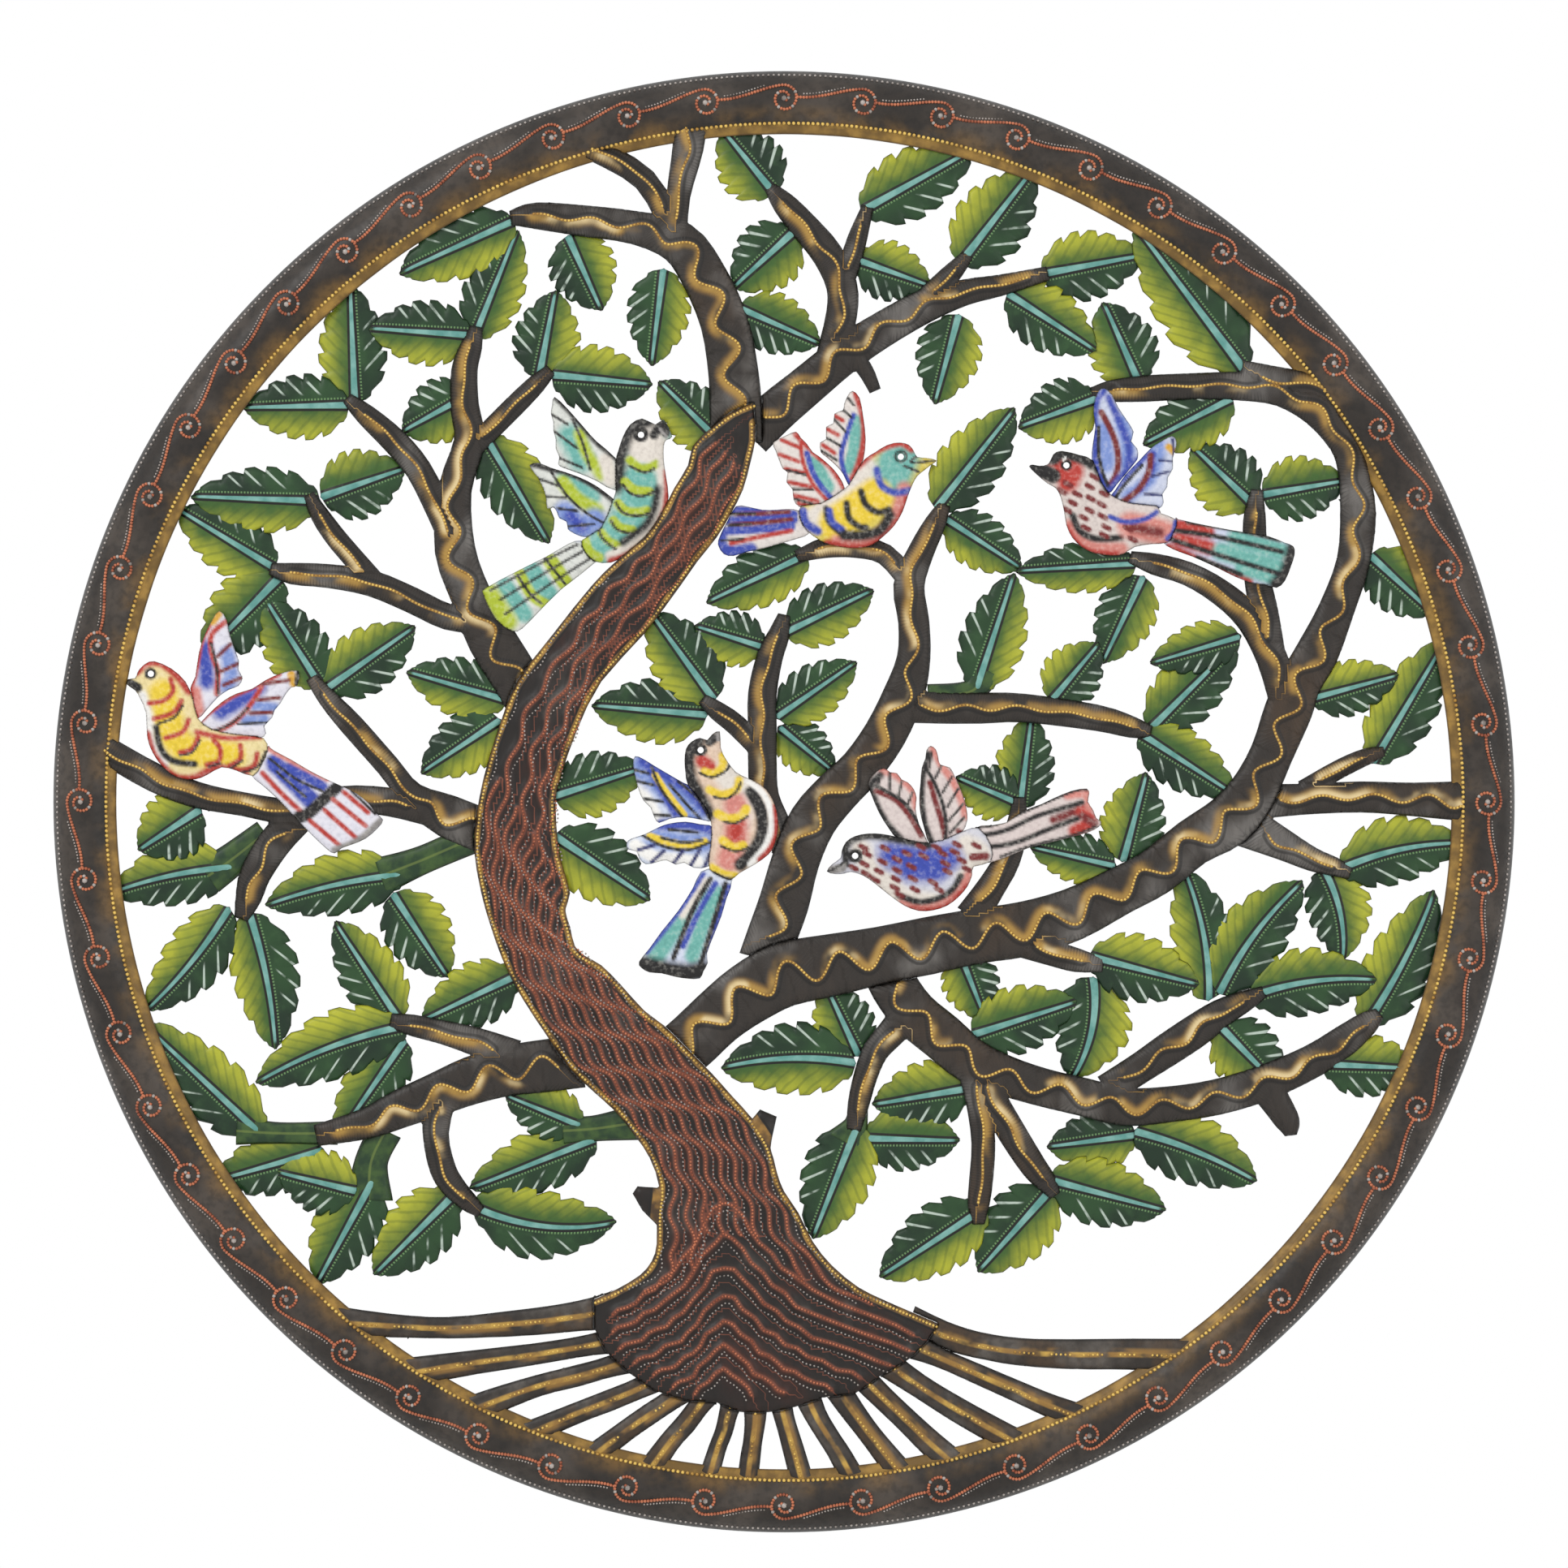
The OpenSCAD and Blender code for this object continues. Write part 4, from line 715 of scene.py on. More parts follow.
# Boughs and twigs: [bough, [x, z, width] points along its middle]
BRANCHES = [
    ["crown_left", [[-20, 150, 22], [-20, 160, 22], [-21, 178, 21], [-25, 200, 20], [-34, 220, 19],
        [-44, 233, 18], [-62, 239, 14], [-85, 242, 13], [-104, 244, 11], [-114, 243, 6]]],
    ["crown_left", [[-45, 232, 9], [-44, 252, 10], [-40, 272, 13], [-38, 292, 15]]],
    ["crown_left", [[-46, 238, 10], [-58, 259, 10], [-80, 272, 10], [-96, 279, 11]]],
    ["crown_right", [[-14, 152, 18], [-4, 162, 18], [8, 172, 17], [25, 186, 16], [40, 196, 15],
        [58, 206, 14], [75, 212, 11], [90, 215, 9], [110, 220, 6]]],
    ["crown_right", [[20, 186, 13], [24, 203, 13], [24, 215, 13], [18, 228, 13], [8, 240, 12],
        [0, 249, 10], [-6, 256, 5]]],
    ["crown_right", [[24, 214, 9], [28, 226, 9], [31, 236, 8], [35, 248, 5]]],
    ["crown_right", [[56, 206, 10], [68, 218, 9], [77, 228, 5]]],
    ["crown_right", [[26, 186, 7], [33, 181, 7], [38, 171, 5]]],
    ["left_upper", [[-104, 38, 20], [-112, 52, 20], [-122, 68, 20], [-130, 85, 17], [-137, 105, 17],
        [-137, 130, 14], [-131, 150, 13], [-133, 165, 12], [-133, 180, 11], [-130, 190, 9],
        [-128, 198, 5]]],
    ["left_upper", [[-136, 104, 11], [-143, 120, 11], [-152, 138, 11], [-162, 150, 11],
        [-174, 161, 9], [-182, 168, 5]]],
    ["left_upper", [[-126, 76, 12], [-140, 77, 11], [-155, 84, 11], [-172, 91, 11], [-190, 94, 10],
        [-205, 95, 9], [-214, 97, 5]]],
    ["left_upper", [[-170, 91, 9], [-185, 108, 9], [-193, 119, 8], [-198, 128, 5]]],
    ["left_upper", [[-131, 146, 9], [-123, 154, 9], [-112, 165, 9], [-103, 174, 8], [-97, 180, 5]]],
    ["left_middle", [[-197, 52, 5], [-190, 43, 8], [-180, 32, 10], [-165, 15, 10], [-155, 3, 11],
        [-140, -6, 18], [-115, -16, 18]]],
    ["left_middle", [[-292, 26, 14], [-280, 20, 12], [-262, 10, 12], [-245, 3, 11], [-225, -1, 10],
        [-205, -4, 11], [-185, 1, 11], [-165, 0, 12], [-148, -4, 12]]],
    ["left_middle", [[-202, -6, 14], [-212, -17, 14], [-220, -30, 13], [-223, -40, 11],
        [-226, -49, 6]]],
    ["left_lower", [[-84, -108, 22], [-100, -110, 22], [-115, -112, 21], [-130, -116, 20],
        [-145, -122, 18], [-160, -128, 16], [-174, -134, 13], [-195, -139, 9]]],
    ["left_lower", [[-112, -106, 14], [-128, -100, 12], [-142, -96, 10], [-155, -93, 9],
        [-164, -91, 6]]],
    ["left_lower", [[-143, -120, 15], [-145, -138, 11], [-142, -153, 11], [-137, -161, 10],
        [-131, -167, 8], [-126, -171, 5]]],
    ["right_main", [[-56, -112, 24], [-42, -103, 24], [-28, -90, 24], [-15, -80, 26], [0, -72, 27],
        [20, -68, 26], [40, -64, 24], [60, -60, 24], [80, -56, 23], [100, -53, 23], [120, -47, 22],
        [140, -37, 20], [155, -29, 20], [170, -17, 20], [185, -8, 22], [195, 4, 20], [203, 20, 18],
        [210, 38, 20], [215, 50, 18], [222, 62, 18], [230, 80, 15], [237, 100, 14], [239, 120, 15],
        [237, 138, 13], [233, 150, 13], [222, 163, 14], [207, 171, 13], [190, 173, 12],
        [170, 173, 11], [150, 172, 11], [136, 171, 9], [128, 170, 5]]],
    ["right_main", [[190, 177, 14], [212, 174, 12], [226, 172, 13], [246, 166, 18]]],
    ["right_main", [[209, 42, 14], [203, 60, 13], [194, 76, 12], [182, 87, 11], [168, 95, 10],
        [154, 99, 9], [144, 102, 5]]],
    ["right_main", [[203, 60, 12], [200, 78, 12], [197, 94, 11], [196, 110, 10], [196, 120, 9],
        [197, 130, 5]]],
    ["right_main", [[96, -57, 14], [112, -63, 11], [122, -66, 10], [133, -68, 6]]],
    ["right_main", [[78, -48, 14], [86, -36, 12], [93, -24, 11], [97, -10, 9], [98, 2, 5]]],
    ["right_side", [[196, 0, 15], [215, 1, 13], [240, 2, 13], [262, 1, 14], [292, 0, 18]]],
    ["right_side", [[216, 5, 8], [232, 14, 8], [243, 19, 7], [250, 21, 4]]],
    ["right_side", [[192, -10, 18], [208, -18, 13], [220, -24, 10], [229, -27, 8], [236, -30, 5]]],
    ["middle", [[-8, -66, 22], [-5, -56, 21], [0, -42, 21], [5, -24, 20], [12, -8, 20], [22, 4, 19],
        [32, 14, 18], [42, 28, 18], [50, 45, 17], [54, 60, 14], [54, 75, 13], [52, 90, 13],
        [57, 104, 11], [63, 116, 9], [67, 124, 5]]],
    ["middle", [[52, 92, 9], [42, 103, 9], [30, 106, 9], [18, 106, 9], [5, 102, 5]]],
    ["middle", [[48, 40, 14], [65, 39, 13], [82, 39, 13], [100, 39, 12], [130, 35, 11], [145, 31, 9],
        [153, 29, 5]]],
    ["centre", [[2, -22, 12], [-3, -10, 12], [-8, 2, 12], [-9, 15, 12], [-9, 30, 12], [-9, 45, 12],
        [-6, 60, 11], [-2, 70, 9], [0, 78, 5]]],
    ["centre", [[-8, 20, 9], [-20, 32, 9], [-28, 38, 8], [-34, 43, 5]]],
    ["lower_right", [[42, -68, 20], [46, -77, 20], [54, -88, 20], [66, -98, 20], [78, -108, 19],
        [92, -114, 17], [108, -119, 16], [125, -123, 16], [142, -127, 16], [160, -126, 15],
        [180, -123, 15], [200, -117, 15], [220, -108, 14], [234, -99, 13], [243, -92, 10],
        [248, -88, 5]]],
    ["lower_right", [[134, -120, 13], [148, -111, 13], [160, -103, 14], [172, -95, 14],
        [182, -88, 12], [192, -83, 9], [200, -79, 5]]],
    ["lower_right", [[52, -88, 14], [44, -97, 12], [38, -104, 11], [34, -114, 10], [31, -126, 9],
        [29, -137, 6]]],
    ["lower_right", [[78, -108, 14], [81, -124, 11], [83, -142, 10], [82, -158, 10], [81, -168, 9],
        [81, -176, 5]]],
    ["lower_right", [[80, -110, 13], [87, -124, 12], [95, -138, 12], [104, -152, 11], [109, -158, 9],
        [113, -164, 5]]],
    ["lower_right", [[200, -118, 14], [206, -127, 12], [210, -134, 10], [211, -139, 5]]],
]

# Roots from the trunk to the rim: [x, z, width] points along each
ROOTS = [
    [[-66, -211, 18], [-78, -213, 14], [-92, -215, 12], [-110, -217, 11], [-140, -219, 9],
        [-165, -218, 10], [-196, -216, 15]],
    [[-64, -223, 13], [-80, -226, 9], [-104, -230, 9], [-140, -235, 11], [-166, -240, 15]],
    [[-56, -230, 13], [-72, -235, 9], [-86, -239, 9], [-102, -243, 9], [-122, -250, 11],
        [-142, -258, 13]],
    [[-46, -237, 12], [-60, -244, 9], [-72, -249, 9], [-90, -256, 9], [-118, -268, 11]],
    [[-36, -241, 12], [-47, -249, 9], [-56, -255, 9], [-66, -262, 9], [-86, -277, 10]],
    [[-28, -242, 12], [-35, -251, 9], [-41, -259, 9], [-48, -267, 9], [-60, -284, 11]],
    [[-20, -245, 11], [-23, -254, 8], [-25, -262, 7.5], [-28, -270, 7.5], [-33, -287, 9]],
    [[-12, -247, 11], [-12, -257, 9], [-13, -266, 8], [-14, -273, 8.5], [-16, -289, 9]],
    [[-2, -247, 10], [0, -256, 8.5], [2, -263, 8.5], [4, -270, 9], [9, -288, 10]],
    [[8, -243, 12], [13, -255, 9.5], [19, -265, 9], [24, -273, 9.5], [32, -288, 11]],
    [[19, -239, 12], [26, -250, 10.5], [34, -261, 9.5], [41, -270, 10], [52, -284, 12]],
    [[29, -236, 11], [40, -247, 10], [51, -257.5, 10], [62, -268, 11], [76, -280, 12]],
    [[40, -232, 12], [56, -243, 10], [72, -253, 10.5], [88, -262, 11], [108, -273, 12]],
    [[48, -224, 13], [64, -231, 8.5], [80, -238, 8.5], [96, -245, 9], [112, -252, 10], [136, -261, 13]],
    [[52, -217, 15], [66, -222, 12], [80, -226, 11], [98, -229, 11.5], [120, -230, 12.5],
        [145, -230, 13], [180, -231, 15]],
]

# The trunk's left and right edges, from the root crown up to the top
TRUNK_LEFT = [[-79, -207], [-70, -203], [-60, -197], [-55, -191], [-53, -184], [-53, -172],
    [-52, -160], [-56, -148], [-62, -139], [-70, -129], [-80, -120], [-89, -111], [-99, -97],
    [-110, -80], [-117, -66], [-122, -52], [-126, -38], [-129, -20], [-128, -6], [-125, 10],
    [-119, 30], [-111, 50], [-96, 70], [-80, 90], [-70, 100], [-58, 110], [-51, 120], [-46, 130],
    [-40, 140], [-38, 148], [-31, 155], [-22, 162], [-13, 166]]
TRUNK_RIGHT = [[64, -217], [50, -211], [41, -207], [31, -202], [20, -193], [12, -183], [6, -171],
    [0, -162], [-3, -154], [-6, -143], [-13, -132], [-22, -122], [-30, -113], [-40, -103], [-50, -93],
    [-58, -87], [-68, -76], [-76, -68], [-83, -64], [-87, -60], [-89, -52], [-91, -45], [-89, -38],
    [-92, -27], [-94, -18], [-95, 0], [-93, 10], [-86, 30], [-76, 50], [-58, 70], [-43, 90],
    [-36, 100], [-28, 110], [-22, 120], [-17, 130], [-14, 141], [-12, 150], [-12, 157]]

# The line along a bough: length of a wave, its swing as a share of the width, gap at each end
WAVE_L, WAVE_A, WAVE_END = 22, 0.2, 9
# Teeth along each side of a leaf, and the depth of a notch as a share of the half width
TEETH, NOTCH = 5, 0.18


def wave(points):
    """The wavy line along a bough, nearly straight on a slim twig."""
    p = smooth(points, lambda a, b: max(2, math.ceil(np.linalg.norm((b - a)[:2]) / 1.8)))
    run = lengths(p)
    swing = WAVE_A * np.clip((p[:, 2] - 10) / 6, 0.2, 1)
    line = p[:, :2] + left_of(headings(p)) * (p[:, 2] * swing * np.sin(2 * math.pi * run / WAVE_L))[:, None]
    return line[(run > WAVE_END) & (run < run[-1] - WAVE_END)]


def strand(points):
    return smooth(points, 6)[:, :2]


# ------------------------------------------------------------------- leaves


def swell(u):
    return max(0.0, math.sin(math.pi * min(max(u, 0), 1) ** 0.8)) ** 0.66


def leaf_stations():
    """Stations along a leaf, foot to tip, with its half width there as a share of the widest."""
    out = [(u, swell(u)) for u in (0.0, 0.03, 0.06)]
    for k in range(TEETH):
        u0 = 0.1 + 0.84 * k / TEETH
        u1 = 0.1 + 0.84 * (k + 1) / TEETH
        for part in (0.0, 0.18, 0.5, 0.72, 0.95):
            u = u0 + (u1 - u0) * part
            if part == 0.0:
                share = swell(u) * (1 - NOTCH)
            elif part == 0.18:
                share = 0.64 * swell(u0) * (1 - NOTCH) + 0.36 * swell(u0 + (u1 - u0) * 0.5)
            else:
                share = swell(u)
            out.append((u, share))
    out += [(0.94, swell(0.94) * (1 - NOTCH)), (0.97, swell(0.97)), (1.0, 0.0)]
    return out


STATIONS = leaf_stations()
ACROSS = 16


def add_leaf(bm, layers, leaf, order):
    _, fx, fz, tx, tz, width, dark, layer, bow = leaf
    foot, tip = np.array((fx, fz), float), np.array((tx, tz), float)
    length = np.linalg.norm(tip - foot)
    ahead = (tip - foot) / length
    left = np.array((-ahead[1], ahead[0]))
    n = len(STATIONS)
    grid = bmesh.ops.create_grid(bm, x_segments=n - 1, y_segments=ACROSS, size=1.0)["verts"]
    front = WALL_Y - SHEET * (1 + layer) - 0.09 * (order % 5)
    tone = noise.noise(Vector((fx * 0.13, fz * 0.17, 2.0)))
    for v in grid:
        i = int(round((v.co.x + 1) / 2 * (n - 1)))
        s = v.co.y
        u, share = STATIONS[i]
        half = share * width / 2
        off = s * half
        at = foot + ahead * (u * length) + left * (off + bow * 4 * u * (1 - u))
        side = off * dark
        rise = 1.5 * (1 - s * s) ** 0.5 * min(1, half / 8)
        groove = -0.55 * math.exp(-(((abs(side) - (0.052 - 0.034 * u) * width - 0.6) / 0.5) ** 2))
        rib = 0.9 * math.exp(-((side / (0.06 * width)) ** 2)) * (1 - 0.6 * u)
        step = (u - (abs(s) * share - 0.16) * 0.3 - 0.22) / 0.17
        vein = math.exp(-((((step + 0.5) % 1) - 0.5) * 0.17 * length / 1.1) ** 2) if -0.4 < step < 3.4 else 0
        ripple = 0.5 * vein * (1 if side > 0 else -0.5)
        ripple = ripple * min(1, max(0, abs(s) * 2.4 - 0.3)) * (1 - abs(s) ** 4)
        hammer = 0.18 * noise.noise(Vector((at[0] / 6, at[1] / 6, order)))
        y = front - max(0.0, rise + groove + rib + ripple + hammer * (1 - s * s))
        v.co = (at[0] * MM, y * MM, at[1] * MM)
        edge = half - abs(off)
        values = {"along": u, "side": side, "wide": width, "edge": edge, "length": length, "tone": tone}
        for key, value in values.items():
            v[layers[key]] = value
    faces = {f for v in grid for f in v.link_faces}
    for f in faces:
        f.normal_update()
    if sum(f.normal.y for f in faces) > 0:
        bmesh.ops.reverse_faces(bm, faces=list(faces))


def stalk_strip(bm, layers, points, layer):
    p = smooth(points, 8)
    grid = bmesh.ops.create_grid(bm, x_segments=len(p) - 1, y_segments=8, size=1.0)["verts"]
    sides = left_of(headings(p))
    front = WALL_Y - SHEET * (1 + layer)
    for v in grid:
        i = int(round((v.co.x + 1) / 2 * (len(p) - 1)))
        s = v.co.y
        half = p[i, 2] / 2
        at = p[i, :2] + sides[i] * s * half
        y = front - 1.6 * (1 - s * s) ** 0.5 - 0.3
        v.co = (at[0] * MM, y * MM, at[1] * MM)
        v[layers["edge"]] = half * (1 - abs(s))
        v[layers["line"]] = s * half
    faces = {f for v in grid for f in v.link_faces}
    for f in faces:
        f.normal_update()
        f.material_index = 2
    if sum(f.normal.y for f in faces) > 0:
        bmesh.ops.reverse_faces(bm, faces=list(faces))


def add_spray(name):
    bm = bmesh.new()
    measures = ("along", "side", "wide", "edge", "length", "tone", "line")
    layers = {key: bm.verts.layers.float.new(key) for key in measures}
    order = 0
    for leaf in LEAVES:
        if leaf[0] == name:
            add_leaf(bm, layers, leaf, order)
            order += 1
    for spray, layer, points in STALKS:
        if spray == name:
            stalk_strip(bm, layers, points, layer)
    mesh = bpy.data.meshes.new("leaves_" + name + "_relief")
    bm.to_mesh(mesh)
    bm.free()
    piece = add_piece(mesh.name, mesh, ("leaf", "back", "stalk", "back"), ("leaves_" + name,))
    thicken(piece, SHEET * 0.9)


for spray in sorted({leaf[0] for leaf in LEAVES}):
    add_spray(spray)

# --------------------------------------------------------------------- birds


def chase(line):
    return 0.4 * np.exp(-((line / 0.7) ** 2))


def bird_body_height(xz, edge, line):
    return np.maximum(0, dome(edge, 9, 2.6) + 0.12 * rough(xz, 3) - chase(line))


def wing_height(xz, edge, line):
    return np.maximum(0, dome(edge, 4, 1.5) + 0.12 * rough(xz, 3) - chase(line))


def away_from(xz, p):
    """How far points are from a drawn line, in mm."""
    best = np.full(len(xz), 1e9)
    for a, b in zip(p[:-1], p[1:]):
        t = np.clip((xz - a) @ (b - a) / max(1e-9, (b - a) @ (b - a)), 0, 1)
        best = np.minimum(best, np.linalg.norm(xz - a - t[:, None] * (b - a), axis=1))
    return best


def painter(ground, strokes):
    """Lays a ground and then strokes of (paint, reach, softness, points) over it."""

    def lay(xz, edge):
        colour = np.tile(np.array(ground), (len(xz), 1))
        for shade, reach, soft, points in strokes:
            share = 1 - np.clip((away_from(xz, smooth(points, 4)) - reach) / soft, 0, 1)
            colour = colour * (1 - share[:, None]) + np.array(shade) * share[:, None]
        return {"paint": colour}

    return lay


# The birds' paints
TEAL = paint(104, 170, 160)
LIME = paint(168, 184, 44)
YELLOW = paint(224, 194, 52)
OCHRE = paint(206, 156, 50)
RED = paint(176, 52, 42)
ROSE = paint(204, 128, 118)
MAROON = paint(112, 30, 30)
BLUE = paint(52, 70, 164)
SKY = paint(120, 142, 200)
NAVY = paint(24, 32, 96)
WHITE = paint(232, 230, 226)
PALE = paint(214, 206, 196)
ASH = paint(140, 136, 134)
INK = paint(22, 20, 20)


def dabs(shade, places):
    return [(shade, 0.8, 0.6, [(x - 1.2, z + 0.7), (x + 1.2, z - 0.6)]) for x, z in places]


def ink(*lines, shade=INK, reach=0.35, soft=0.45):
    return [(shade, reach, soft, line) for line in lines]


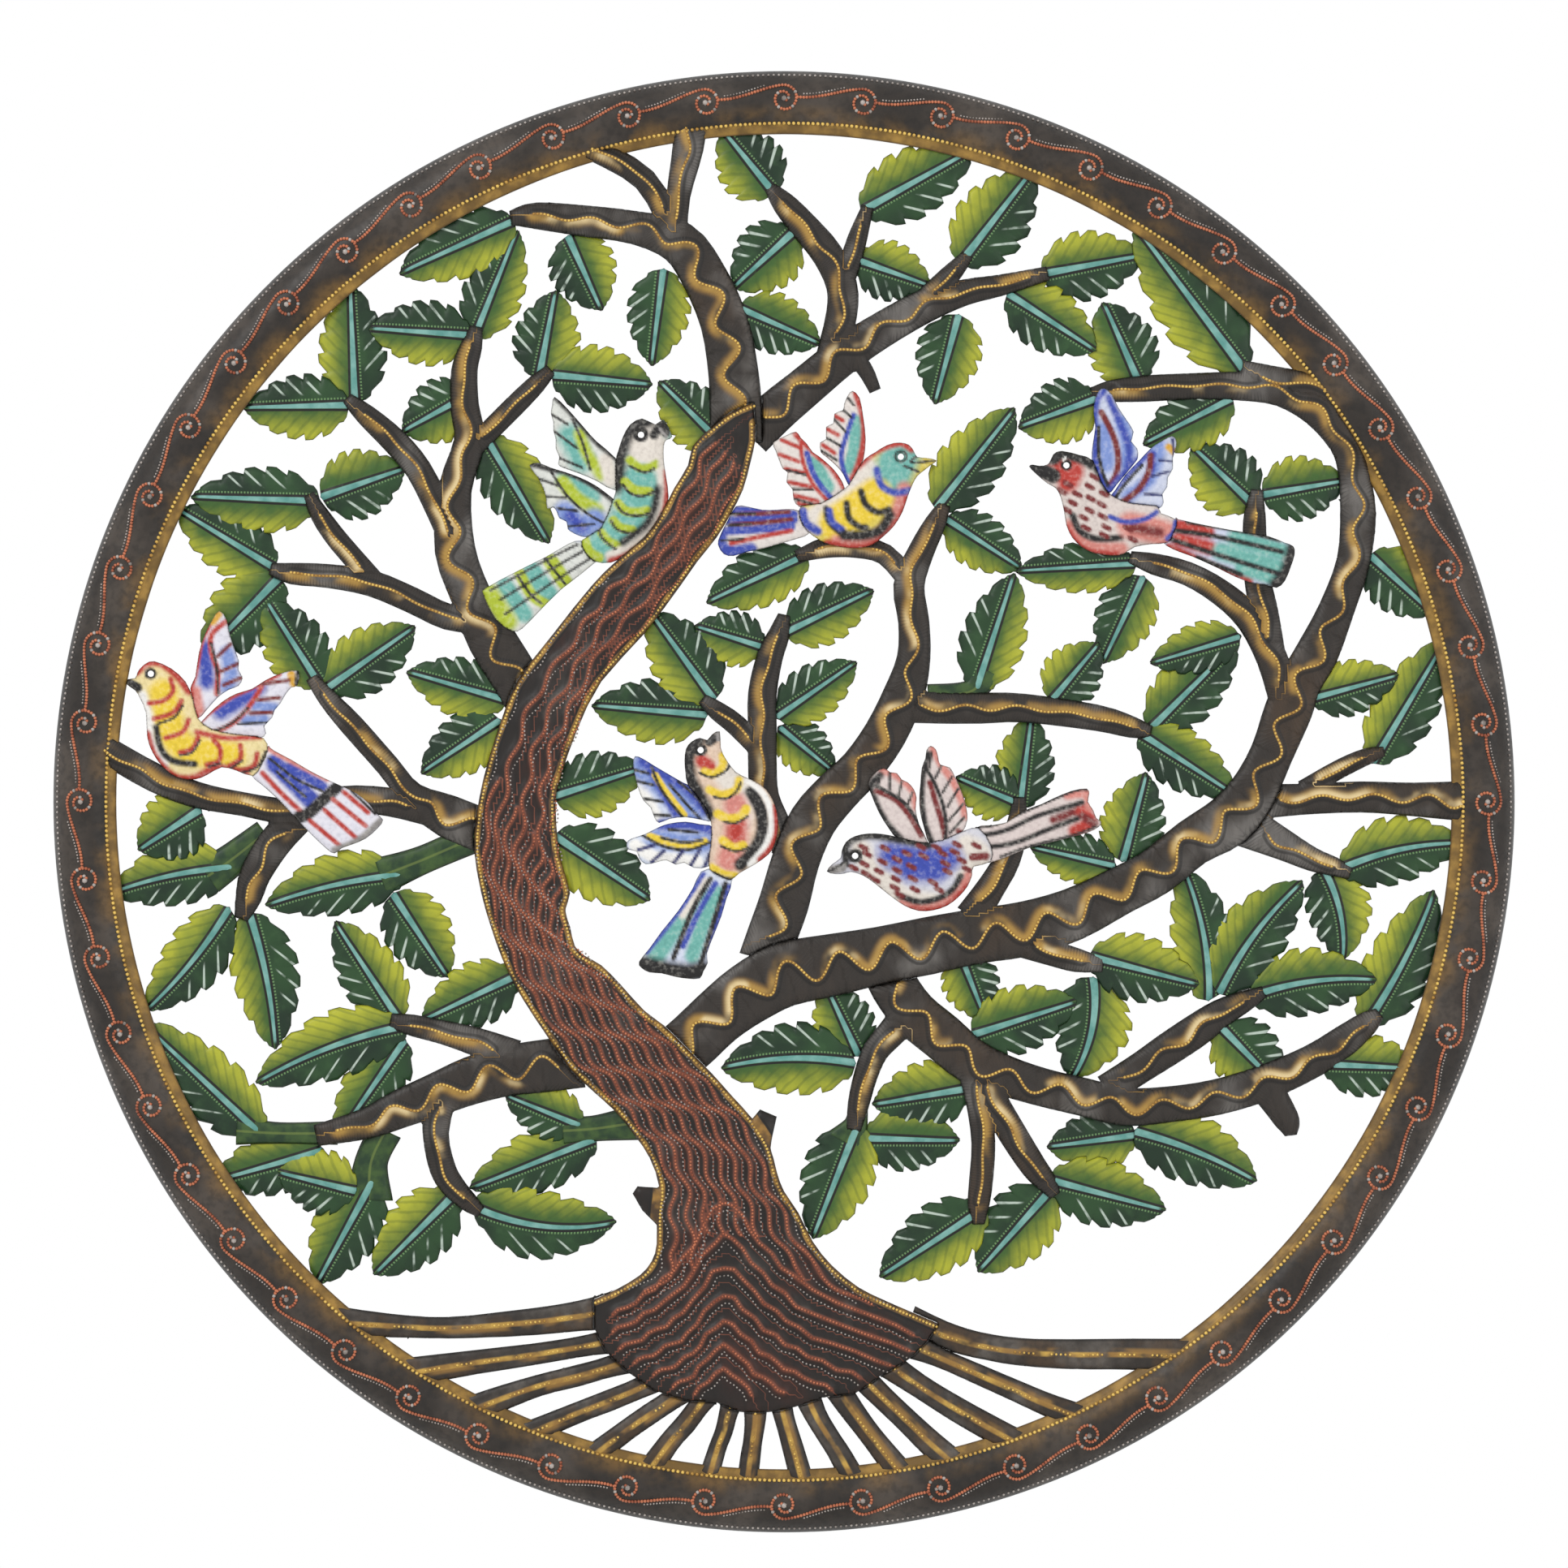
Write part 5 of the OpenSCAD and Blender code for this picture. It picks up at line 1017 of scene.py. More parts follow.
# Strokes painted on each bird's body and then its wings: (paint, half width, softness, points).
# They are laid in this order, in millimetres.
BIRD_STROKES = {
    "left": (
        [
            (PALE, 6.5, 4, [(-58, 152), (-56, 140)]),
            (TEAL, 6, 3, [(-60, 133), (-61, 124), (-66, 114), (-74, 106)]),
            (INK, 2.2, 3, [(-57, 159), (-63, 157), (-67, 150), (-69, 142), (-70, 132)]),
            (LIME, 1.3, 1, [(-64, 142), (-60, 138.8), (-56, 139), (-53, 140.5)]),
            (LIME, 1.4, 1, [(-66, 133), (-62, 129.7), (-56, 129)]),
            (LIME, 1.5, 1, [(-69, 124), (-66, 121), (-61, 120.3), (-57, 121)]),
            (LIME, 1.4, 1, [(-71, 117), (-68, 114), (-63, 113)]),
            (LIME, 1.3, 1, [(-76, 112), (-73, 108.5), (-69, 106.5)]),
            (LIME, 1.6, 1, [(-83, 109), (-81, 104), (-77, 101.5)]),
            (PALE, 1.6, 1.6, [(-50, 148), (-50, 136), (-51, 124), (-56, 113), (-64, 106), (-72, 102)]),
            (RED, 0.9, 1.4, [(-48.6, 137), (-48.3, 128), (-50, 119), (-56, 109), (-65, 102.5), (-72, 100)]),
            (INK, 0.7, 2, [(-52.5, 130), (-54, 122), (-58, 114.5), (-67, 108)]),
            (INK, 1.5, 0.9, [(-54, 152.5), (-50.7, 157), (-49.2, 153.5)]),
            (ASH, 0.4, 0.4, [(-51.5, 155), (-49, 152)]),
            (INK, 2.7, 0.6, [(-59.8, 152.7), (-59.2, 152.7)]),
            *ink(
                [(-64, 139.5), (-58, 136.9), (-54, 138.5)],
                [(-67, 132), (-64, 128.3), (-59, 127), (-54, 129)],
                [(-70, 124.5), (-67, 120.3), (-61, 118.8), (-56, 120)],
                [(-72, 117), (-69, 113), (-62, 111.8), (-57, 115)],
                [(-77, 113), (-75, 109), (-70, 105)],
                [(-85, 108), (-83, 103.5), (-79, 100)],
            ),
        ],
        [
            (TEAL, 3, 4, [(-89, 152), (-84, 142)]),
            (LIME, 1.5, 2, [(-85, 153), (-82, 145), (-76, 136)]),
            (PALE, 2, 2, [(-74, 142), (-72, 134)]),
            (INK, 0.5, 1.3, [(-95, 168), (-89, 162), (-82, 154), (-77, 148.5), (-70, 143)]),
            (TEAL, 2.4, 2.5, [(-91, 134), (-80, 127)]),
            (LIME, 1.9, 2, [(-92, 133), (-86, 126), (-78, 121.5)]),
            (SKY, 3.5, 3, [(-91, 120), (-85, 114), (-79, 117)]),
            (BLUE, 1, 2.5, [(-89, 119), (-84, 114)]),
            (INK, 0.7, 1.2, [(-105, 140.5), (-97, 138.4), (-90, 136.8), (-80, 132), (-71, 125.5)]),
            (LIME, 2.6, 1.2, [(-97, 100), (-91, 91)]),
            (TEAL, 3.2, 2, [(-105, 96), (-98, 86)]),
            (LIME, 1.7, 1.2, [(-110, 95), (-105, 86), (-99, 82)]),
            (TEAL, 2.5, 2, [(-116, 90), (-108, 78)]),
            (LIME, 2.6, 3, [(-123, 87), (-115, 75)]),
            *ink(
                [(-88, 159), (-84, 150), (-80.5, 138)],
                [(-96.5, 161), (-90, 157)],
                [(-95.5, 154), (-86, 147)],
                [(-93.5, 143), (-84, 139)],
                [(-97, 137.5), (-90, 127), (-82, 120), (-75, 116)],
                [(-102.5, 134.5), (-94, 131.5)],
                [(-99.5, 127), (-91, 126.5)],
                [(-90, 114.5), (-79, 115.5)],
                [(-94, 122), (-86, 121)],
                [(-100, 102), (-94.5, 95), (-91, 90.5)],
                [(-111, 94.5), (-106, 87), (-101, 82.5)],
                [(-86, 107), (-98, 101), (-109, 95), (-122, 88)],
                [(-84, 104), (-98, 96), (-118, 84)],
                [(-81, 101), (-98, 90), (-116, 78)],
            ),
        ],
    ),
    "top_middle": (
        [
            (PALE, 4, 3, [(34, 138), (28, 131), (14, 118), (9, 116)]),
            (TEAL, 5.5, 4, [(46, 141), (49, 144), (45, 135)]),
            (YELLOW, 6, 3, [(38, 127), (28, 120), (22, 116)]),
            (ROSE, 1.8, 2.5, [(50, 130), (47, 120), (41, 112), (33, 108), (22, 108)]),
            (RED, 0.9, 1.6, [(52, 129), (50, 121), (45, 113), (37, 106.8), (28, 105.6), (18, 107.5)]),
            (RED, 1, 1.6, [(31, 140), (38, 146), (48, 149.5), (53, 147)]),
            (BLUE, 0.8, 1.3, [(38.5, 138), (40.5, 131.5), (46, 128.5), (52, 129.5)]),
            (INK, 0.8, 1.2, [(32, 129), (34, 123.5), (39, 120.3), (43.5, 121.5)]),
            (INK, 0.8, 1.2, [(26, 124), (27, 118), (31, 114.5), (34, 114)]),
            (INK, 0.8, 1, [(17.5, 122), (18.3, 117), (22, 113), (25, 111.5)]),
            (BLUE, 0.8, 1.2, [(19, 121), (20, 116.5), (24, 113.3)]),
            (BLUE, 1.1, 1.3, [(7.8, 121), (9, 116), (14, 112.5)]),
            (INK, 1.3, 1.8, [(44, 119), (40, 113), (33, 110.8), (25, 110.8)]),
            (INK, 2.4, 0.5, [(48.4, 143.6), (48.8, 143.6)]),
            (TEAL, 1.5, 0.4, [(48.5, 143.6), (48.7, 143.6)]),
            *ink([(55, 143.6), (53, 141), (62.5, 141.9)], [(50, 139.6), (56, 137.2)]),
        ],
        [
            (TEAL, 2.2, 1.2, [(30, 158), (29.5, 148), (27.5, 139)]),
            (RED, 0.9, 1.2, [(30, 170), (33, 160), (33.3, 150), (31, 140), (27.5, 132)]),
            (BLUE, 0.7, 0.7, [(29, 161), (25.8, 152), (23.8, 144), (25, 137), (27, 132.5)]),
            (TEAL, 2.2, 1.5, [(12.5, 141), (18, 131)]),
            (RED, 0.9, 1.2, [(5, 153), (9, 149), (14, 144), (20, 139), (25, 131)]),
            (RED, 0.5, 0.8, [(7, 150), (8, 141), (12.5, 131.5), (19, 124.5)]),
            (BLUE, 0.8, 0.7, [(9.5, 145), (12, 137), (16, 130.5), (20.5, 125.5)]),
            *ink(
                [(24.5, 158.5), (20.5, 161)],
                [(22.5, 152.5), (18, 155)],
                [(21, 145), (16, 148.5)],
                [(-1, 150.5), (6, 147.5)],
                [(-2, 144.5), (6, 141.5)],
                [(0.5, 138.5), (8, 136.8)],
                [(2, 133), (11, 131)],
                [(4, 127.5), (14, 125)],
                [(6, 124), (16, 123)],
                shade=RED,
                reach=0.5,
                soft=0.8,
            ),
            *ink(
                [(29, 165), (26.5, 168)],
                [(28, 160), (24.5, 163)],
                [(25.5, 154), (20.5, 159.5)],
                [(23.5, 148), (17.5, 151.5)],
                [(22, 142), (15.5, 146)],
                [(1, 138), (9, 136)],
                [(3.5, 130), (12, 129.8)],
                [(4.5, 126), (12, 123.8)],
            ),
            (BLUE, 1.3, 1, [(-22, 121.5), (-8, 120.5), (4, 119.5)]),
            (BLUE, 1.3, 1, [(-24, 117), (-10, 117.3), (4, 117.3)]),
            (BLUE, 1.3, 1, [(-26, 112.5), (-12, 113.3), (3, 114.5)]),
            (BLUE, 2, 1.6, [(-26.5, 110), (-25.5, 105), (-20, 104), (-14, 105)]),
            (MAROON, 0.6, 0.7, [(-20, 119.6), (-8, 120), (2, 120.7)]),
            (MAROON, 0.6, 0.7, [(-22, 115.2), (-10, 116), (3, 117.5)]),
            (RED, 0.6, 0.8, [(-22, 107.5), (-10, 110.2), (3, 112.7)]),
            *ink([(-22, 119.8), (-12, 119.8)], [(-23, 115), (-14, 115.5)], [(-26, 108.6), (-17, 109.3)]),
        ],
    ),
    "top_right": (
        [
            (RED, 3, 3, [(114, 138), (120, 138), (118, 133)]),
            (INK, 1.9, 1.6, [(112, 142.5), (116, 145), (124, 143), (128.5, 140.5)]),
            (INK, 0.8, 1.2, [(129, 141), (131.5, 135), (135, 129)]),
            (INK, 2.6, 0.9, [(104.5, 138.7), (109, 137), (112, 135.5)]),
            (ROSE, 2.2, 2.5, [(118.5, 114), (122, 108.5), (129, 105), (140, 104.5)]),
            (RED, 0.7, 1.5, [(117.6, 114), (120.5, 109), (127, 104), (138, 102.8)]),
            (INK, 0.8, 1.2, [(120, 119), (123, 112.5), (130, 109.3), (140, 109.8)]),
            (ROSE, 4, 3, [(144, 115), (153, 113), (159, 111)]),
            (MAROON, 0.8, 2.4, [(145, 114), (156, 112)]),
            (BLUE, 0.6, 0.9, [(135.5, 118.5), (142, 116.3), (150, 117.5), (155, 120.5)]),
            (BLUE, 0.7, 0.9, [(163, 116.5), (162, 112), (159.5, 109.5)]),
            *dabs(
                MAROON,
                [(115.5, 129), (118, 132), (127, 131), (122, 127.7), (120, 124.2), (117.6, 121.3),
                 (133, 128), (127.5, 126), (132, 123.5), (127, 121), (124.5, 118), (132.5, 118.5),
                 (125.5, 113.8), (134, 114), (129, 135), (133, 110.8), (143, 113.5), (145, 109)],
            ),
            (INK, 1.9, 0.5, [(117.3, 140), (117.7, 140)]),
            (WHITE, 0.3, 0.3, [(116.3, 142), (117, 143)]),
        ],
        [
            (SKY, 2.6, 3, [(132.5, 154), (133.5, 141)]),
            (SKY, 1.8, 2.5, [(140.5, 158), (143, 148), (142, 141)]),
            (BLUE, 0.7, 1.5, [(133, 171), (129.6, 165), (129.4, 150), (130, 139), (134.5, 130)]),
            (BLUE, 0.7, 1.6, [(135, 168), (140, 157), (143.5, 147), (143, 140)]),
            (MAROON, 0.9, 0.8, [(132, 162), (137, 152), (139, 143), (138, 136), (135.5, 132)]),
            (INK, 0.5, 0.5, [(131, 156), (130.7, 146), (132.5, 137), (135, 131)]),
            (BLUE, 1.3, 1.6, [(134, 124), (138, 131.5), (145, 139.5), (152, 145.5)]),
            (SKY, 1.6, 2.5, [(143, 127), (152, 134), (155, 142), (156, 148)]),
            (BLUE, 0.7, 1.2, [(153.5, 145), (153, 138), (148.5, 130)]),
            (MAROON, 0.9, 0.8, [(139, 123.5), (147, 129.5), (151.5, 137), (152.5, 144)]),
            (INK, 0.5, 0.5, [(136.5, 124), (141, 131), (149, 140)]),
            (OCHRE, 1, 1, [(160, 147.5), (162.3, 145.5)]),
            *ink(
                [(153, 135.3), (160, 137.3)],
                [(150, 128), (158, 127.5)],
                [(144, 124), (156, 122.4)],
                [(156, 142), (162, 141.6)],
                [(161.6, 151), (162.5, 143)],
                shade=NAVY,
            ),
            (RED, 2, 2.2, [(164, 114.6), (176, 112.4)]),
            (RED, 2, 2.2, [(164, 109), (177, 105.5)]),
            (RED, 0.6, 1.2, [(160, 106.5), (176, 99.5), (194, 92)]),
            (TEAL, 2.6, 2.6, [(188, 109.5), (207, 104)]),
            (TEAL, 2.6, 2.6, [(182, 104), (206, 97)]),
            (TEAL, 1.6, 2, [(190, 97), (204, 92.5)]),
            (INK, 2, 2.6, [(212, 105), (209, 95), (205, 90.5)]),
            *ink(
                [(163, 112.8), (180, 110.3), (207, 104)],
                [(160, 109.5), (180, 102.8), (207, 94.5)],
                [(172, 101.5), (190, 94.5)],
                [(168, 116.5), (190, 112.8), (206, 109)],
                reach=0.6,
                soft=0.9,
            ),
        ],
    ),
    "far_left": (
        [
            (YELLOW, 4.2, 3.5, [(-258, 45), (-256, 36), (-254, 28), (-248, 22), (-238, 20), (-230, 19)]),
            (WHITE, 1.2, 2, [(-267, 44), (-264.5, 34), (-263.5, 25), (-258, 16)]),
            (RED, 0.9, 1.6, [(-269, 54), (-265, 57.5), (-259, 57.5), (-252, 52), (-247.5, 46)]),
            (RED, 1, 1.6, [(-265, 28), (-262, 19), (-254, 10.6), (-245, 9.8), (-236, 14), (-224, 12)]),
            (RED, 0.5, 1.3, [(-244, 29), (-232, 26.5), (-218, 27)]),
            (INK, 0.8, 1.2, [(-261, 31), (-259, 22), (-254, 17), (-245, 15.7)]),
            (INK, 1.6, 0.8, [(-273.5, 50), (-268.8, 47.5)]),
            *ink(
                [(-264, 41), (-258, 42), (-254, 46), (-255, 51)],
                [(-262, 34.5), (-254, 37), (-250.5, 42)],
                [(-257, 26.5), (-250, 29), (-247.5, 34)],
                [(-251, 20.5), (-246, 22), (-243.5, 27)],
                [(-240, 15.5), (-235, 17), (-234.3, 22), (-237, 25.5)],
                [(-230.5, 15), (-226, 18), (-226, 23.5)],
                [(-225.5, 13), (-220.5, 15), (-219, 20)],
                shade=RED,
                reach=0.6,
                soft=0.9,
            ),
            *ink(
                [(-260, 32.5), (-253.5, 35), (-250, 40)],
                [(-251, 19.3), (-246, 20.6), (-242.8, 25.5)],
                [(-239, 14.6), (-234.5, 16)],
                [(-230, 14), (-225.3, 17)],
                [(-226, 12), (-219, 14.5), (-215.5, 21)],
            ),
            (INK, 2.1, 0.5, [(-263.7, 53.3), (-263.3, 53.3)]),
        ],
        [
            (BLUE, 1.8, 3.2, [(-241, 64), (-240, 50)]),
            (SKY, 1.8, 2.5, [(-231.5, 62), (-230, 52), (-232, 48)]),
            (ROSE, 1, 2, [(-244.5, 46), (-243, 38)]),
            (RED, 0.7, 1.1, [(-236, 78), (-242, 68), (-244.7, 55), (-246.7, 46), (-246, 39),
                (-244.3, 35.5)]),
            (RED, 0.7, 0.9, [(-232, 75), (-238, 69.5), (-238, 62), (-235.5, 54), (-236, 45)]),
            (OCHRE, 1.2, 1, [(-237.5, 75), (-235.3, 78)]),
            (BLUE, 2.4, 3.2, [(-234, 38), (-226, 43), (-219, 48)]),
            (SKY, 1.2, 2, [(-220, 40), (-212, 39)]),
            (SKY, 1, 2, [(-224, 34), (-216, 34.5)]),
            (RED, 0.6, 1, [(-244, 32.5), (-238, 38), (-230, 43.6), (-222, 47.3), (-210, 53)]),
            (RED, 0.7, 0.8, [(-243, 27), (-232, 31), (-225, 36.5), (-219.5, 44), (-216.5, 49.5)]),
            (OCHRE, 1.2, 1, [(-205, 53), (-203.8, 49)]),
            (INK, 0.6, 0.5, [(-202.3, 54), (-202.8, 49)]),
            *ink(
                [(-235.5, 60.5), (-230.3, 65.5)],
                [(-234.5, 54), (-227.3, 57.3)],
                [(-233, 48.5), (-226, 51.5)],
                [(-219, 42.3), (-210, 43.3)],
                [(-222, 36.8), (-213, 37.2)],
                [(-217, 49), (-206, 50.5)],
                shade=MAROON,
                reach=0.5,
                soft=0.7,
            ),
            *ink(
                [(-238.3, 66), (-236, 56), (-235.3, 45)],
                [(-227, 32.3), (-215, 33)],
                [(-240, 25.6), (-229, 25.4), (-219, 27)],
                [(-242, 27.5), (-230, 32.5), (-223, 39)],
            ),
            (BLUE, 2.8, 1.8, [(-212, 16), (-203, 7), (-197, 1)]),
            (BLUE, 1.5, 1.3, [(-205, 14.5), (-192, 6.5)]),
            (ROSE, 0.6, 1.2, [(-216, 23), (-204, 16.5), (-190, 9.5)]),
            (RED, 0.6, 1, [(-217, 12), (-209, 3.5), (-201, -4)]),
            (INK, 2.1, 0.9, [(-186, 6), (-192, 0.5), (-198, -5), (-202, -6.5)]),
            *ink(
                [(-183, 4), (-173, -4.5)],
                [(-187.5, 1), (-174, -10)],
                [(-191, -3.5), (-178, -15)],
                [(-197, -8), (-185, -18)],
                shade=RED,
                reach=0.6,
                soft=0.8,
            ),
            *ink([(-214, 18), (-203, 9.5), (-192, 4.5)], [(-211, 12.5), (-199, 2)], [(-180, 4.5),
                (-170, -5)]),
            (ASH, 0.8, 1.3, [(-168, -8), (-177, -16), (-187, -20)]),
        ],
    ),
    "centre": (
        [
            (PALE, 4, 3, [(-24, 12), (-18, 3), (-19, -8)]),
            (ROSE, 3.2, 3.5, [(-20, -1), (-20, -14), (-23, -24)]),
            (RED, 1.5, 3.5, [(-20, -9), (-20, -14)]),
            (INK, 2.2, 2.4, [(-36, 26), (-40, 20), (-39.6, 10), (-36, 3), (-32, -5)]),
            (RED, 1.8, 2, [(-34, 17), (-31, 14.5)]),
            (YELLOW, 1.2, 1, [(-33, 12.5), (-29, 11.6), (-25.5, 15), (-25.5, 19)]),
            (YELLOW, 1.2, 1, [(-31, 5), (-26, 3), (-20, 5), (-18.7, 9)]),
            (YELLOW, 1.4, 1, [(-27.5, -5), (-23, -7), (-18, -6), (-15.7, -3)]),
            (YELLOW, 1.3, 1, [(-25.5, -16), (-21, -19), (-17, -18)]),
            (YELLOW, 1.4, 1, [(-30, -27.5), (-25, -30.3), (-20.5, -31)]),
            (INK, 2, 1.4, [(-13.5, 4), (-9.5, -4), (-9.3, -14), (-14, -22), (-18, -26)]),
            (WHITE, 0.8, 1, [(-15, 9), (-8, 2.5), (-5, -8), (-7.5, -18), (-14, -26)]),
            (RED, 0.7, 1, [(-3.6, -2), (-3, -12), (-5.5, -19), (-10, -24)]),
            *ink(
                [(-35, 12), (-30, 10.2), (-24, 13), (-22.5, 16)],
                [(-29, 2), (-24, 1.3), (-20, 4), (-18, 8)],
                [(-25, -8.3), (-20, -8.8), (-15, -6)],
                [(-26, -18.5), (-20, -20.6), (-15, -19)],
                [(-29, -29.5), (-24, -31.8), (-20, -32)],
            ),
            (INK, 1.6, 0.9, [(-31, 25), (-28.3, 27)]),
            (ASH, 0.7, 0.6, [(-27.5, 28.8), (-27.2, 26)]),
            (INK, 2.3, 0.5, [(-34.9, 21.5), (-34.5, 21.5)]),
        ],
        [
            (WHITE, 2.2, 2, [(-60, 7), (-57, 0), (-54, -6)]),
            (SKY, 4, 4, [(-58, 14), (-48, 6), (-38, -3)]),
            (BLUE, 1.6, 2.6, [(-58, 17), (-50, 12), (-40, 6), (-32, -3)]),
            (BLUE, 0.8, 2, [(-56, 15), (-51, 5), (-45, -5)]),
            (YELLOW, 1.1, 0.7, [(-53.5, 11), (-49, 4), (-41.5, -5.5)]),
            (SKY, 2.5, 3, [(-54, -15), (-42, -17), (-33, -17)]),
            (BLUE, 1.4, 2, [(-51, -9.6), (-40, -9.2), (-30, -11.5)]),
            (WHITE, 1.8, 1.5, [(-62, -18), (-54, -23), (-44, -24), (-36, -25)]),
            (YELLOW, 1.2, 0.8, [(-56, -14.3), (-48, -16.8), (-40, -18), (-33, -16.5)]),
            *ink(
                [(-55, 14.5), (-51, 5), (-42, -6.6)],
                [(-62.3, 13.3), (-56.5, 11.8)],
                [(-61, 8.5), (-54.5, 7)],
                [(-58, 1.3), (-50.5, 0)],
                [(-54.5, -5.3), (-47.5, -5.8)],
                [(-47.5, 7), (-40.5, -1), (-35, -7)],
                [(-44, 8.5), (-36, 1.5), (-31, -7)],
                [(-59, -13.8), (-50, -18.6), (-40, -20), (-31, -17)],
                [(-51, -15), (-42, -17), (-34, -16)],
                [(-48, -11.5), (-36, -12.8)],
                shade=INK,
                reach=0.4,
                soft=0.5,
            ),
            *ink(
                [(-54, -18), (-60.5, -20)],
                [(-50, -20.5), (-55, -25)],
                [(-42, -20.5), (-46, -25.5)],
                [(-35, -20), (-39, -26.8)],
                [(-31, -22), (-33, -27)],
                shade=NAVY,
                reach=0.5,
                soft=0.6,
            ),
            (TEAL, 2.6, 2.6, [(-36, -38), (-45, -52), (-53, -64)]),
            (PALE, 0.8, 2, [(-33, -33), (-42, -47)]),
            (TEAL, 2.2, 2, [(-28, -38), (-34, -52), (-38, -64)]),
            (BLUE, 0.6, 1, [(-33.5, -30), (-44, -46), (-57, -62.5)]),
            (BLUE, 0.8, 0.8, [(-28.5, -34), (-35.5, -46), (-42, -60)]),
            (BLUE, 1.3, 1, [(-22.8, -36), (-26.3, -48), (-30.5, -62)]),
            (INK, 0.8, 0.6, [(-30.5, -32), (-38, -45), (-46, -65)]),
            (INK, 0.8, 0.6, [(-24.3, -34), (-28.7, -48), (-34.5, -67)]),
            (INK, 2.4, 3, [(-59, -67.5), (-50, -69.8), (-40, -71.2), (-34, -70)]),
        ],
    ),
    "low_right": (
        [
            (PALE, 3, 3, [(32, -20), (38, -30), (50, -40), (62, -42)]),
            (PALE, 3, 3, [(76, -18), (82, -22), (76, -30)]),
            (BLUE, 3, 5.5, [(45, -22), (58, -24), (68, -23)]),
            (BLUE, 2, 4.5, [(52, -29), (64, -29)]),
            (INK, 0.9, 1.7, [(25, -20), (28, -16), (36, -14), (48, -15.7), (60, -18)]),
            (ROSE, 1.4, 2.2, [(50, -42), (57, -44), (66, -42), (73, -37), (77, -31)]),
            (RED, 0.5, 1.3, [(53, -44.5), (62, -45), (69, -42.3), (76, -35)]),
            (INK, 0.8, 1.1, [(48, -39), (56, -41.6), (64, -40.2), (70, -36.5), (73.5, -31)]),
            *dabs(
                MAROON,
                [(33, -19), (42, -19.4), (34.5, -21.8), (57, -18.8), (63.5, -19), (33.5, -26),
                 (41, -25), (47, -24), (51, -21.5), (58, -22.6), (66, -21.5), (72, -17.8),
                 (80, -18.3), (74, -24.5), (53, -27), (67, -25.6), (34, -30), (39.5, -29),
                 (47, -28.6), (68, -29), (38, -32.5), (46.5, -32.2), (53.5, -32), (62, -33.6),
                 (46, -35.7), (48, -38.7), (38.5, -36), (54.5, -36.5), (64.5, -36.6), (76, -28),
                 (71, -21), (29, -27.5)],
            ),
            (MAROON, 1.3, 0.7, [(78.5, -23), (84, -22.6)]),
            (INK, 0.9, 1.2, [(25.5, -21), (25.8, -26)]),
            (ASH, 1.5, 0.9, [(20, -28.3), (24, -27.5)]),
            *ink([(18.3, -29), (22, -27.3), (24.5, -25.5)]),
            (INK, 2.7, 0.5, [(29.4, -22.5), (29.8, -22.5)]),
        ],
        [
            (ROSE, 0.8, 1.8, [(41, 13), (46, 11.5), (51, 7.5), (54, 4), (55, -2)]),
            (INK, 0.8, 1.5, [(40, 11), (36, 7), (37.5, 1), (42, -8), (48, -15)]),
            (MAROON, 0.8, 0.8, [(38.5, 4.5), (46, 1), (52, -5.5), (57, -14)]),
            (INK, 0.5, 0.6, [(37, 7.3), (45, 3), (51, -1.5), (58, -12)]),
            (ROSE, 0.8, 1.6, [(62, 22), (66, 14.5), (70, 9), (74, 0), (75.5, -6)]),
            (INK, 0.7, 1.3, [(59.7, 20), (57.7, 10), (57.3, 0), (58.8, -10), (61.5, -17)]),
            (MAROON, 0.8, 0.8, [(60.7, 8), (63, 0), (65.5, -8), (67, -15)]),
            (INK, 0.5, 0.6, [(59, 14), (62.5, 8), (66, -1), (67.5, -10), (67, -17)]),
            *ink(
                [(44, 12), (44, 5)],
                [(49, 8.5), (47.5, 2)],
                [(53.5, 4), (51, -2)],
                [(40, 11.5), (39, 6)],
                [(60.5, 14), (61.3, 20.5)],
                [(63, 10), (65.5, 15)],
                [(66, 4), (70, 10.5)],
                [(68, -2), (72.5, 5.5)],
                [(68.5, -8), (74.5, -1)],
                [(69, -13), (75, -6.5)],
            ),
            (MAROON, 0.9, 1.6, [(112, -7.5), (128, -1.5)]),
            (RED, 1.6, 2.2, [(124, -4), (127.5, -8), (121, -12)]),
            (MAROON, 1, 1.4, [(124, -6), (129, -9)]),
            (ROSE, 1.3, 1.6, [(118, 3), (125.5, 3.5), (127, -2)]),
            (INK, 0.6, 0.9, [(79, -14.5), (92, -12), (105, -6), (124, -0.3)]),
            (INK, 0.6, 1, [(79, -19.5), (95, -17.3), (110, -11.5), (122, -7)]),
            *ink(
                [(80, -10.8), (88, -9.6), (100, -4.2), (120, 4.2), (126, 5)],
                [(90, -23), (103, -18.3), (120, -14), (130, -10.3)],
            ),
            *dabs(MAROON, [(73.5, -12.8), (79.5, -13.3)]),
        ],
    ),
}

# The paints under those strokes: body, wings
BIRD_GROUND = {
    "left": (paint(150, 178, 168), paint(206, 208, 202)),
    "top_middle": (paint(212, 192, 84), paint(214, 206, 200)),
    "top_right": (paint(206, 194, 188), paint(192, 198, 218)),
    "far_left": (paint(222, 204, 148), paint(214, 212, 222)),
    "centre": (paint(214, 188, 166), paint(196, 204, 222)),
    "low_right": (paint(196, 196, 206), paint(206, 192, 188)),
}

BIRDS = []


def chased(strokes):
    """The thin strokes, which are also chased into the metal."""
    thin = [smooth(points, 4) for _, reach, _, points in strokes if reach <= 0.6]
    return Lines(thin) if thin else None


